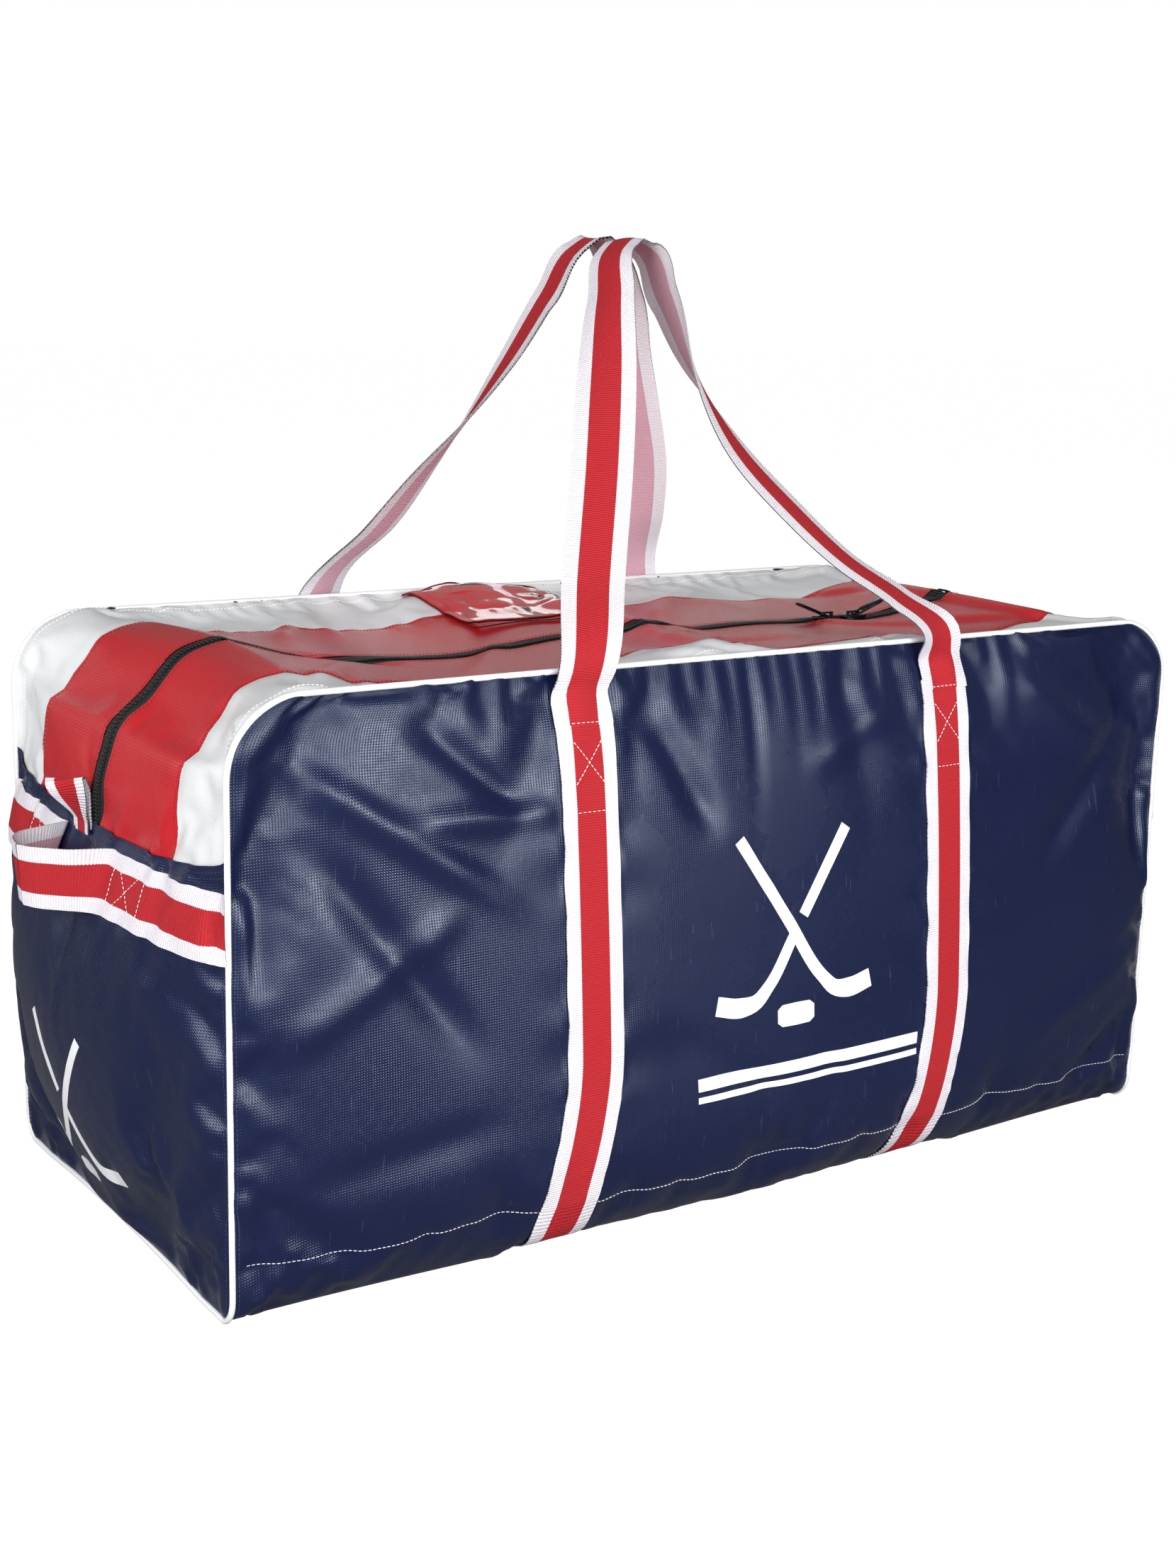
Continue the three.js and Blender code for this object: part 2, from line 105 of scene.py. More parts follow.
soft_box("box_over_left", (-2.7, -1.0, 1.2), (-0.3, 0, 0.3), (1.6, 1.4), 72)
soft_box("box_front_left", (-1.3, -3.6, 1.5), (0, 0, 0.25), (1.6, 1.6), 84)
soft_box("box_low_front", (0.20, -2.05, 0.66), (-0.35, -0.24, 0.35), (0.6, 0.6), 26)
soft_box("box_overhead", (0.0, 0.2, 2.8), (0, 0, 0.4), (2.2, 1.2), 5)
soft_box("box_behind_right", (2.4, 3.6, 1.9), (0, 0, 0.4), (2.0, 0.8), 7)
soft_box("box_behind_left", (-2.2, 2.2, 1.1), (-0.3, 0, 0.25), (1.0, 1.3), 5)


def seen_and_felt(tree, seen_shader, felt_shader, output):
    """What the camera sees directly may differ from what lights the bag."""
    path = tree.nodes.new("ShaderNodeLightPath")
    mix = tree.nodes.new("ShaderNodeMixShader")
    tree.links.new(path.outputs["Is Camera Ray"], mix.inputs[0])
    tree.links.new(felt_shader.outputs[0], mix.inputs[1])
    tree.links.new(seen_shader.outputs[0], mix.inputs[2])
    tree.links.new(mix.outputs[0], output.inputs["Surface"])


world = bpy.data.worlds.new("studio")
world.use_nodes = True
tree = world.node_tree
felt = tree.nodes["Background"]
felt.inputs["Color"].default_value = (1, 1, 1, 1)
felt.inputs["Strength"].default_value = 0.20
white = tree.nodes.new("ShaderNodeBackground")
white.inputs["Color"].default_value = (1, 1, 1, 1)
seen_and_felt(tree, white, felt, tree.nodes["World Output"])
scene.world = world

floor_mesh = bpy.data.meshes.new("floor")
floor_mesh.from_pydata([(-30, -30, 0), (30, -30, 0), (30, 30, 0), (-30, 30, 0)], [], [(0, 1, 2, 3)])
floor = bpy.data.objects.new("floor", floor_mesh)
floor.location.z = -0.0006
scene.collection.objects.link(floor)
paper, paper_shader = new_material("pale_paper")
paper_shader.inputs["Base Color"].default_value = (0.22, 0.22, 0.22, 1)
paper_shader.inputs["Roughness"].default_value = 0.9
tree = paper.node_tree
glow = tree.nodes.new("ShaderNodeEmission")
glow.inputs["Strength"].default_value = 0.94
lit = tree.nodes.new("ShaderNodeAddShader")
tree.links.new(glow.outputs[0], lit.inputs[0])
tree.links.new(paper_shader.outputs[0], lit.inputs[1])
seen_and_felt(tree, lit, paper_shader, tree.nodes["Material Output"])
floor_mesh.materials.append(paper)

# --- Cut and stuffed shape ----------------------------------------------------------------------
# Two lengths of coated fabric make the bag: the wrap goes down the front, under the base and up the
# back, and the gusset goes up one end, over the top and down the other. They meet along the piping.
# Both are draped together here as one cloth, sewn fast along the piping, and every piece is cut later
# from the settled cloth.
front_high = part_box("piping_front")[1]
PIPING_RADIUS = 0.0021
HALF_LENGTH = front_high.x - PIPING_RADIUS
HALF_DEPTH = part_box("piping_rear")[1].y - PIPING_RADIUS
HEIGHT = front_high.z - PIPING_RADIUS
TOP_CORNER = 0.060
CORNER_SLACK = 0.022
FRONT_BULGE = 0.038
FULLEST_HEIGHT = 0.2
FOOT_TUCK = 0.22
# How the front's bulge falls off towards its top.
BULGE_FALL = 1.6
END_BULGE = 0.044
END_FLAT_FROM = 0.413
TOP_PUFF = 0.010
# The ends lean in above the hem, most in their middle.
END_LEAN = 0.018
LEAN_HEIGHT = 0.455
LEAN_SPREAD = 0.045
FOOT_AT_ENDS = 0.025
FOOT_AT_MIDDLE = 0.055
END_ARCH = 0.008
STEADY_X = 0.215
STRAP_X = 0.185
WEBBING = 0.050
HEM_HIGH = 0.365
HEM_DIP = 0.020
# Slack of the top along the zip, as stations along X and heights above the piped edge.
TOP_WAVES_X = (-0.43, -0.39, -0.33, -0.255, -0.166, -0.049, 0.06, 0.148, 0.269, 0.36, 0.43)
TOP_WAVES_Z = (0.016, 0.012, 0.003, -0.006, -0.011, -0.001, -0.005, -0.002, -0.006, 0.0, 0.006)
CORNER_ROWS, WALL_ROWS, ROLL_ROWS, FLOOR_ROWS = 9, 36, 4, 18
HALF_ROWS = CORNER_ROWS + WALL_ROWS + ROLL_ROWS + FLOOR_ROWS
COLUMNS = 88
ROW_LENGTH, COLUMN_LENGTH = 0.0108, 0.0109
EDGE_ROWS = 2 + WALL_ROWS + CORNER_ROWS
GUSSET_COLUMNS = 2 * (FLOOR_ROWS + 2)
HEM_ROW = 2 + round(WALL_ROWS * (HEM_HIGH - FOOT_AT_ENDS) / (HEIGHT - TOP_CORNER - FOOT_AT_ENDS))


def smooth(t):
    t = np.clip(t, 0, 1)
    return t * t * (3 - 2 * t)


def curve_through(places, values, x):
    """Smooth curve through given stations."""
    places, values = np.array(places), np.array(values)
    slopes = np.gradient(values, places)
    i = np.clip(np.searchsorted(places, x) - 1, 0, len(places) - 2)
    step = places[i + 1] - places[i]
    t = np.clip((x - places[i]) / step, 0, 1)
    rise = values[i] * (2 * t**3 - 3 * t**2 + 1) + values[i + 1] * (3 * t**2 - 2 * t**3)
    return rise + step * (slopes[i] * (t**3 - 2 * t**2 + t) + slopes[i + 1] * (t**3 - t**2))


def front_bulge(x, z):
    along = np.maximum(0, 1 - (x / HALF_LENGTH) ** 2) ** 0.9
    height = np.clip(z / HEIGHT, 0, 1)
    tucked = 1 - FOOT_TUCK * (1 - smooth(height / FULLEST_HEIGHT))
    return FRONT_BULGE * along * tucked * (1 - height**BULGE_FALL) / (1 - FULLEST_HEIGHT**BULGE_FALL)


def end_bulge(y, z):
    across = np.maximum(0, 1 - (y / HALF_DEPTH) ** 2)
    return END_BULGE * across * np.sin(np.pi * np.clip(z / END_FLAT_FROM, 0, 1) ** 0.85) ** 1.5


def foot_radius(x):
    return FOOT_AT_ENDS + (FOOT_AT_MIDDLE - FOOT_AT_ENDS) * (1 - (x / HALF_LENGTH) ** 4)


def floor_arch(x, y):
    near_end = np.exp(-(HALF_LENGTH - np.abs(x)) / 0.05)
    return END_ARCH * near_end * np.maximum(0, 1 - (y / (HALF_DEPTH - FOOT_AT_ENDS)) ** 2)


def top_height(x, y):
    across = 1 - (y / HALF_DEPTH) ** 2
    return HEIGHT + across * curve_through(TOP_WAVES_X, TOP_WAVES_Z, x)


def wrap_shape():
    grid = np.zeros((2 * HALF_ROWS + 1, COLUMNS + 1, 3))
    nominal = np.linspace(-HALF_LENGTH, HALF_LENGTH, COLUMNS + 1)
    for row in range(HALF_ROWS + 1):
        corner = np.pi / 2 * max(0, 1 - row / CORNER_ROWS)
        reach = HALF_LENGTH - TOP_CORNER * (1 - math.cos(corner))
        beyond = np.maximum(0, np.abs(nominal) - STEADY_X) / (HALF_LENGTH - STEADY_X)
        x = np.sign(nominal) * (np.minimum(np.abs(nominal), STEADY_X) + beyond * (reach - STEADY_X))
        radius = foot_radius(x)
        wall = np.clip((CORNER_ROWS + WALL_ROWS - row) / WALL_ROWS, 0, 1)
        z = radius + wall * (HEIGHT - TOP_CORNER - radius) + TOP_CORNER * math.sin(corner)
        y = HALF_DEPTH + front_bulge(x, z)
        roll = np.pi / 2 * np.clip((row - CORNER_ROWS - WALL_ROWS) / ROLL_ROWS, 0, 1)
        across = np.clip((row - CORNER_ROWS - WALL_ROWS - ROLL_ROWS) / FLOOR_ROWS, 0, 1)
        y = (y - radius) * (1 - across) + radius * np.cos(roll)
        z = z - radius * np.sin(roll)
        z = z + floor_arch(x, y) * smooth(1 - z / 0.03)
        grid[row] = np.stack([x, -y, z], -1)
        grid[2 * HALF_ROWS - row] = np.stack([x, y, z], -1)
    return grid


def gusset_shape(wrap):
    rows = 2 * EDGE_ROWS + COLUMNS
    grid = np.zeros((rows + 1, GUSSET_COLUMNS + 1, 3))
    even = np.linspace(-HALF_DEPTH, HALF_DEPTH, GUSSET_COLUMNS + 1)
    foot = wrap[CORNER_ROWS + WALL_ROWS + 2:, 0][:GUSSET_COLUMNS + 1]
    for row in range(EDGE_ROWS + 1):
        settle = smooth(np.array(row / 9.0))
        y = foot[:, 1] * (1 - settle) + even * settle
        across = 1 - (y / HALF_DEPTH) ** 2
        radius = TOP_CORNER + CORNER_SLACK * across
        centre = HEIGHT + TOP_PUFF * across - radius
        wall = min(max(row - 2, 0) / WALL_ROWS, 1)
        z = FOOT_AT_ENDS + wall * (centre - FOOT_AT_ENDS)
        hem = HEM_HIGH - HEM_DIP * (1 - np.abs(y / HALF_DEPTH) ** 5)
        hem_now = FOOT_AT_ENDS + (HEM_ROW - 2) / WALL_ROWS * (centre - FOOT_AT_ENDS)
        z = z + (hem - hem_now) * max(0, 1 - abs(row - HEM_ROW) / 11)
        if row < 8:
            eighth = FOOT_AT_ENDS + 6 / WALL_ROWS * (centre - FOOT_AT_ENDS)
            z = foot[:, 2] + (eighth - foot[:, 2]) * row / 8
        corner = np.pi / 2 * max(0, (row - 2 - WALL_ROWS) / CORNER_ROWS)
        x = HALF_LENGTH + end_bulge(y, z) - radius * (1 - math.cos(corner))
        lean_z = z + radius * math.sin(corner)
        x = x - END_LEAN * across * np.exp(-(((lean_z - LEAN_HEIGHT) / LEAN_SPREAD) ** 2))
        grid[row] = np.stack([-x, y, lean_z], -1)
        grid[rows - row] = np.stack([x, y, lean_z], -1)
    start, end = grid[EDGE_ROWS], grid[rows - EDGE_ROWS]
    for step in range(COLUMNS + 1):
        share = step / COLUMNS
        line = start * (1 - share) + end * share
        line[:, 0] = wrap[0, step, 0] * np.abs(start[:, 0]) / abs(start[0, 0])
        line[:, 2] = top_height(line[:, 0], line[:, 1])
        grid[EDGE_ROWS + step] = line
    for side, column in ((0, 0), (-1, GUSSET_COLUMNS)):
        grid[EDGE_ROWS:EDGE_ROWS + COLUMNS + 1, column] = wrap[side]
    for row in range(EDGE_ROWS + 1):
        for grid_row, edge in ((row, 0), (rows - row, COLUMNS)):
            grid[grid_row, 0] = wrap[EDGE_ROWS - row, edge]
            grid[grid_row, -1] = wrap[2 * HALF_ROWS - EDGE_ROWS + row, edge]
    for column in range(GUSSET_COLUMNS + 1):
        grid[0, column] = wrap[EDGE_ROWS + column, 0]
        grid[rows, column] = wrap[EDGE_ROWS + column, COLUMNS]
    return grid


def sewn_numbers(wrap, gusset):
    """Number every point of the two cloths so that the points along the piping are shared."""
    wrap_ids = np.arange(wrap.shape[0] * wrap.shape[1]).reshape(wrap.shape[:2])
    gusset_ids = np.full(gusset.shape[:2], -1)
    rows = gusset.shape[0] - 1
    for row in range(EDGE_ROWS + 1):
        for grid_row, edge in ((row, 0), (rows - row, COLUMNS)):
            gusset_ids[grid_row, 0] = wrap_ids[EDGE_ROWS - row, edge]
            gusset_ids[grid_row, -1] = wrap_ids[2 * HALF_ROWS - EDGE_ROWS + row, edge]
    for column in range(GUSSET_COLUMNS + 1):
        gusset_ids[0, column] = wrap_ids[EDGE_ROWS + column, 0]
        gusset_ids[rows, column] = wrap_ids[EDGE_ROWS + column, COLUMNS]
    for column in range(COLUMNS + 1):
        gusset_ids[EDGE_ROWS + column, 0] = wrap_ids[0, column]
        gusset_ids[EDGE_ROWS + column, -1] = wrap_ids[-1, column]
    sewn = set(gusset_ids[gusset_ids >= 0].tolist())
    free = gusset_ids < 0
    gusset_ids[free] = wrap_ids.size + np.arange(free.sum())
    return wrap_ids, gusset_ids, sewn


def grid_faces(ids):
    corners = (ids[:-1, :-1], ids[1:, :-1], ids[1:, 1:], ids[:-1, 1:])
    return np.stack(corners, -1).reshape(-1, 4).tolist()


def drape(points, faces, hold, frames):
    """Let the cloth shrink a little against its seams, under light stuffing pressure."""
    mesh = bpy.data.meshes.new("drape")
    mesh.from_pydata(points.tolist(), [], faces)
    cloth_object = bpy.data.objects.new("drape", mesh)
    scene.collection.objects.link(cloth_object)
    group = cloth_object.vertex_groups.new(name="sewn")
    for level in np.unique(hold):
        if level > 0:
            group.add(np.nonzero(hold == level)[0].tolist(), float(level), "REPLACE")
    cloth = cloth_object.modifiers.new("drape", "CLOTH")
    cloth.point_cache.frame_start, cloth.point_cache.frame_end = 1, frames
    settings = cloth.settings
    settings.quality = 4
    settings.mass = 0.02
    settings.vertex_group_mass = "sewn"
    settings.pin_stiffness = 1.0
    settings.tension_stiffness = settings.compression_stiffness = 18
    settings.shear_stiffness = 8
    settings.bending_stiffness = 0.6
    settings.shrink_min = -0.03
    settings.use_pressure = True
    settings.uniform_pressure_force = 0.6
    settings.effector_weights.gravity = 0.35
    for step in range(1, frames + 1):
        scene.frame_set(step)
    settled = cloth_object.evaluated_get(bpy.context.evaluated_depsgraph_get()).to_mesh()
    result = np.zeros(len(points) * 3, np.float32)
    settled.vertices.foreach_get("co", result)
    scene.frame_set(1)
    bpy.data.objects.remove(cloth_object)
    return result.reshape(-1, 3).astype(float)


LARGEST_MOVE = 0.014
HEM_STIFFNESS = 0.5


class Draped:
    """A settled cloth that can be read at any place on it, also between its points."""

    def __init__(self, grid, finer=1):
        rows = np.concatenate([2 * grid[:1] - grid[1:2], grid, 2 * grid[-1:] - grid[-2:-1]])
        ends = (2 * rows[:, :1] - rows[:, 1:2], rows, 2 * rows[:, -1:] - rows[:, -2:-1])
        self.grid = np.concatenate(ends, 1)
        self.finer = finer

    def at(self, rows, columns):
        rows, columns = np.broadcast_arrays(rows * self.finer, columns * self.finer)
        last_row, last_column = self.grid.shape[0] - 4, self.grid.shape[1] - 4
        i = np.clip(np.floor(rows).astype(int), 0, last_row)
        j = np.clip(np.floor(columns).astype(int), 0, last_column)
        total = 0
        for a, row_share in enumerate(self.shares(rows - i)):
            for b, column_share in enumerate(self.shares(columns - j)):
                total = total + (row_share * column_share)[..., None] * self.grid[i + a, j + b]
        return total

    @staticmethod
    def shares(t):
        return (
            (-t + 2 * t**2 - t**3) / 2,
            (2 - 5 * t**2 + 3 * t**3) / 2,
            (t + 4 * t**2 - 3 * t**3) / 2,
            (t**3 - t**2) / 2,
        )

    def outward(self, rows, columns):
        step = 0.25
        along = self.at(rows + step, columns) - self.at(rows - step, columns)
        across = self.at(rows, columns + step) - self.at(rows, columns - step)
        normal = np.cross(along, across)
        return normal / np.maximum(np.linalg.norm(normal, axis=-1, keepdims=True), 1e-12)


wrap_grid = wrap_shape()
gusset_grid = gusset_shape(wrap_grid)
GUSSET_ROWS = gusset_grid.shape[0] - 1
top_stations = gusset_grid[EDGE_ROWS:EDGE_ROWS + COLUMNS + 1, GUSSET_COLUMNS // 2, 0].copy()
wrap_ids, gusset_ids, sewn = sewn_numbers(wrap_grid, gusset_grid)
points = np.zeros((gusset_ids.max() + 1, 3))
points[gusset_ids] = gusset_grid
points[wrap_ids] = wrap_grid
hold = np.zeros(len(points))
hold[list(sewn)] = 1
for row in (HEM_ROW, GUSSET_ROWS - HEM_ROW):
    hold[gusset_ids[row, 1:-1]] = HEM_STIFFNESS
hold[(points[:, 2] < 0.004) & (np.abs(points[:, 0]) < HALF_LENGTH - 0.03)] = 1
moved = drape(points, grid_faces(wrap_ids) + grid_faces(gusset_ids), hold, 22) - points
size = np.linalg.norm(moved, axis=1, keepdims=True)
allowed = (LARGEST_MOVE * (0.35 + 0.65 * smooth(points[:, 2] / 0.12)))[:, None]
for row in range(GUSSET_ROWS + 1):
    from_foot = min(row, GUSSET_ROWS - row)
    upper = smooth((from_foot - HEM_ROW + 6) / 8) * smooth((EDGE_ROWS + 9 - from_foot) / 9)
    allowed[gusset_ids[row, 1:-1]] *= 1 - 0.5 * upper
points = points + moved * np.tanh(size / allowed) * allowed / np.maximum(size, 1e-9)
points[:, 2] = np.maximum(points[:, 2], 0)
wrap_grid, gusset_grid = points[wrap_ids], points[gusset_ids]


def ripple(distance, lengths, seed):
    """Uneven gathering along a seam, between -1 and 1."""
    phases = np.random.default_rng(seed).uniform(0, 2 * np.pi, len(lengths))
    return sum(np.sin(2 * np.pi * distance / w + p) for w, p in zip(lengths, phases)) / len(lengths)


def fold(x, z, start, end, width, depth):
    """One soft fold between two places, deepest in its middle."""
    start, end = np.array(start), np.array(end)
    line = end - start
    share = ((x - start[0]) * line[0] + (z - start[1]) * line[1]) / (line @ line)
    off = ((x - start[0]) * line[1] - (z - start[1]) * line[0]) / math.hypot(*line)
    fade = smooth(np.clip(share, 0, 1) * 3) * smooth((1 - np.clip(share, 0, 1)) * 3)
    return depth * fade * np.exp(-((off / width) ** 2)) * ((share > 0) & (share < 1))


# Soft folds of the front: start and end as (x, z), half width and depth.
FRONT_FOLDS = (
    ((-0.46, 0.45), (-0.23, 0.29), 0.013, 0.0045),
    ((-0.44, 0.40), (-0.27, 0.17), 0.016, -0.0050),
    ((-0.35, 0.47), (-0.22, 0.36), 0.012, -0.0040),
    ((-0.36, 0.38), (-0.19, 0.375), 0.011, 0.0040),
    ((-0.47, 0.20), (-0.28, 0.32), 0.014, 0.0035),
    ((-0.46, 0.10), (-0.24, 0.14), 0.016, -0.0035),
    ((-0.13, 0.46), (-0.06, 0.33), 0.014, -0.0040),
    ((-0.15, 0.20), (0.02, 0.10), 0.018, -0.0030),
    ((0.14, 0.44), (0.02, 0.38), 0.015, 0.0028),
    ((0.24, 0.46), (0.40, 0.36), 0.017, 0.0040),
    ((0.45, 0.42), (0.28, 0.25), 0.018, -0.0042),
    ((0.46, 0.16), (0.27, 0.10), 0.015, 0.0032),
)
# Pitch of the rows as the gathers and ripples count it.
RIPPLE_ROW = 0.0105
BASE_FOLD = 0.050
STRAP_GROOVE = 0.0026
STRAP_DRIFT = 0.020


def strap_drift(z):
    """The straps stray towards the left end as they pass under the bag."""
    return STRAP_DRIFT * smooth((0.18 - z) / 0.15)


def wall_row(x, z):
    """Row of the wrap at a height of its front wall."""
    radius = foot_radius(x)
    straight = HEIGHT - TOP_CORNER
    corner = np.arcsin(np.clip((z - straight) / TOP_CORNER, 0, 1)) / (np.pi / 2)
    wall = np.clip((z - radius) / (straight - radius), 0, 1)
    roll = np.arcsin(np.clip(1 - z / radius, 0, 1)) / (np.pi / 2)
    return CORNER_ROWS * (1 - corner) + WALL_ROWS * (1 - wall) + ROLL_ROWS * roll


def wrap_column(x):
    return (x + HALF_LENGTH) / (2 * HALF_LENGTH) * COLUMNS


def gusset_column(y):
    return (y + HALF_DEPTH) / (2 * HALF_DEPTH) * GUSSET_COLUMNS


def top_row(x):
    return EDGE_ROWS + np.interp(x, top_stations, np.arange(COLUMNS + 1))


def with_relief(cloth, relief, finer):
    rows = np.arange(0, cloth.grid.shape[0] - 3 + 1e-9, 1 / finer)
    columns = np.arange(0, cloth.grid.shape[1] - 3 + 1e-9, 1 / finer)
    rows, columns = np.meshgrid(rows, columns, indexing="ij")
    points = cloth.at(rows, columns)
    return Draped(points + cloth.outward(rows, columns) * relief(rows, columns, points)[..., None], finer)


def wrap_relief(rows, columns, points):
    x = columns / COLUMNS * 2 * HALF_LENGTH - HALF_LENGTH
    z = points[..., 2]
    front = rows < HALF_ROWS
    from_end = HALF_LENGTH - np.abs(x)
    from_top = np.minimum(rows, 2 * HALF_ROWS - rows) * RIPPLE_ROW
    wall = smooth((z - 0.02) / 0.05)
    height = 0.0016 * np.exp(-((from_end / 0.022) ** 2)) * ripple(z, (0.066, 0.043), 1) * wall
    height += 0.0006 * np.exp(-((from_top / 0.020) ** 2)) * ripple(x, (0.058, 0.037), 2)
    from_strap = np.abs(np.abs(x + strap_drift(z)) - STRAP_X) - WEBBING / 2
    beside = np.exp(-((np.maximum(from_strap, 0) / 0.020) ** 2)) * (from_strap > 0)
    height += 0.0016 * beside * ripple(z + 0.3 * x, (0.068, 0.047), 3) * wall
    mirrored = np.where(front, x, -x)
    for start, end, width, depth in FRONT_FOLDS:
        height += (0.5 + smooth(z / 0.25)) * fold(mirrored, z, start, end, width, depth) * wall
    under = smooth(1 - z / 0.03) * smooth(1 - (from_strap - 0.002) / 0.014)
    seam = np.exp(-(((z - BASE_FOLD) / 0.004) ** 2)) * np.where(np.abs(rows - HALF_ROWS) > 20, 1, 0)
    edge = smooth(np.minimum(from_end, from_top) / 0.008)
    return (height - 0.0007 * seam) * edge - STRAP_GROOVE * under


SEAM_RED_WHITE = 0.138
# Slack folds of the top, as (x, y) start and end, half width and depth.
TOP_FOLDS = (
    ((-0.40, -0.19), (-0.27, -0.02), 0.012, 0.0045),
    ((-0.36, 0.04), (-0.20, -0.05), 0.013, -0.0050),
    ((-0.31, -0.21), (-0.12, -0.15), 0.010, 0.0035),
    ((-0.22, -0.12), (-0.10, 0.03), 0.012, 0.0040),
    ((-0.30, 0.06), (-0.22, 0.20), 0.014, 0.0055),
    ((-0.40, 0.12), (-0.30, 0.20), 0.012, -0.0040),
    ((-0.06, -0.20), (0.08, -0.11), 0.011, 0.0035),
    ((0.00, -0.03), (0.16, -0.10), 0.012, -0.0040),
    ((0.08, 0.05), (0.20, 0.18), 0.014, 0.0045),
    ((0.13, -0.16), (0.30, -0.20), 0.010, 0.0035),
    ((0.20, 0.02), (0.34, -0.09), 0.013, 0.0045),
    ((0.27, 0.19), (0.41, 0.06), 0.014, -0.0045),
    ((0.31, -0.04), (0.42, -0.17), 0.012, -0.0040),
)


def gusset_relief(rows, columns, points):
    y = columns / GUSSET_COLUMNS * 2 * HALF_DEPTH - HALF_DEPTH
    x, z = points[..., 0], points[..., 2]
    run = np.minimum(rows, GUSSET_ROWS - rows) * RIPPLE_ROW
    from_side = HALF_DEPTH - np.abs(y)
    height = 0.0015 * np.exp(-((from_side / 0.018) ** 2)) * ripple(run + 0.7 * np.sign(x), (0.052, 0.034), 4)
    off_top = smooth((rows - EDGE_ROWS + 6) / 8) * smooth((GUSSET_ROWS - EDGE_ROWS + 6 - rows) / 8)
    for start, end, width, depth in TOP_FOLDS:
        height += fold(x, y, start, end, width, depth) * off_top
    from_seam = np.abs(np.abs(y) - SEAM_RED_WHITE)
    height -= 0.0012 * np.exp(-((from_seam / 0.006) ** 2)) * (run > 0.35)
    height += 0.0010 * np.exp(-((from_seam / 0.02) ** 2)) * ripple(run + x, (0.049, 0.077), 5)
    return height * smooth(from_side / 0.008) * smooth(run / 0.02)


wrap = with_relief(Draped(wrap_grid), wrap_relief, 2)
gusset = with_relief(Draped(gusset_grid), gusset_relief, 2)


# --- Wrap: front, base and back -----------------------------------------------------------------
# One length of navy PVC coated polyester, glossy on its outside with a fine linen emboss from the
# scrim under the coating, and matt inside. It is sewn to the gusset along its whole edge.
NAVY = (0.0034, 0.0068, 0.036)
FABRIC_THICK = 0.0012


def node(tree, kind, sockets=(), **settings):
    """A shader node with its settings, and its sockets linked or set."""
    made = tree.nodes.new(kind)
    for key, value in settings.items():
        setattr(made, key, value)
    for key, value in dict(sockets).items():
        if isinstance(value, bpy.types.NodeSocket):
            tree.links.new(value, made.inputs[key])
        else:
            made.inputs[key].default_value = value
    return made


def figure(tree, operation, first, second=0.0):
    return node(tree, "ShaderNodeMath", {0: first, 1: second}, operation=operation).outputs[0]


def blend_colors(tree, share, first, second):
    mixer = node(tree, "ShaderNodeMix", data_type="RGBA")
    for socket, value in ((mixer.inputs[0], share), (mixer.inputs[6], first), (mixer.inputs[7], second)):
        if isinstance(value, bpy.types.NodeSocket):
            tree.links.new(value, socket)
        else:
            socket.default_value = value
    return mixer.outputs[2]


def shader_group(name, inputs, outputs):
    tree = bpy.data.node_groups.new(name, "ShaderNodeTree")
    for label, kind, value in inputs:
        socket = tree.interface.new_socket(label, in_out="INPUT", socket_type="NodeSocket" + kind)
        if value is not None:
            socket.default_value = value
    for label, kind in outputs:
        tree.interface.new_socket(label, in_out="OUTPUT", socket_type="NodeSocket" + kind)
    return tree, tree.nodes.new("NodeGroupInput").outputs, tree.nodes.new("NodeGroupOutput").inputs


def waves(tree, value, pitch):
    return figure(tree, "SINE", figure(tree, "MULTIPLY", figure(tree, "DIVIDE", value, pitch), 2 * math.pi))


def make_linen_emboss():
    """Crossed threads that show through a coating, with the odd thicker thread."""
    tree, given, result = shader_group(
        "linen_emboss", [("Place", "Vector", None), ("Pitch", "Float", 0.002)], [("Height", "Float")])
    split = node(tree, "ShaderNodeSeparateXYZ", {0: given["Place"]})
    warp = waves(tree, split.outputs[0], given["Pitch"])
    weft = waves(tree, split.outputs[1], given["Pitch"])
    uneven = node(tree, "ShaderNodeTexNoise", {"Vector": given["Place"], "Scale": 160.0, "Detail": 2.0})
    crossed = figure(tree, "MULTIPLY", warp, weft)
    ridges = figure(tree, "MULTIPLY", figure(tree, "ADD", warp, weft), 0.25)
    height = figure(tree, "ADD", figure(tree, "MULTIPLY", crossed, 0.5), ridges)
    slub_height = figure(tree, "ADD", uneven.outputs[0], 0.5)
    tree.links.new(figure(tree, "MULTIPLY", height, slub_height), result["Height"])
    return tree


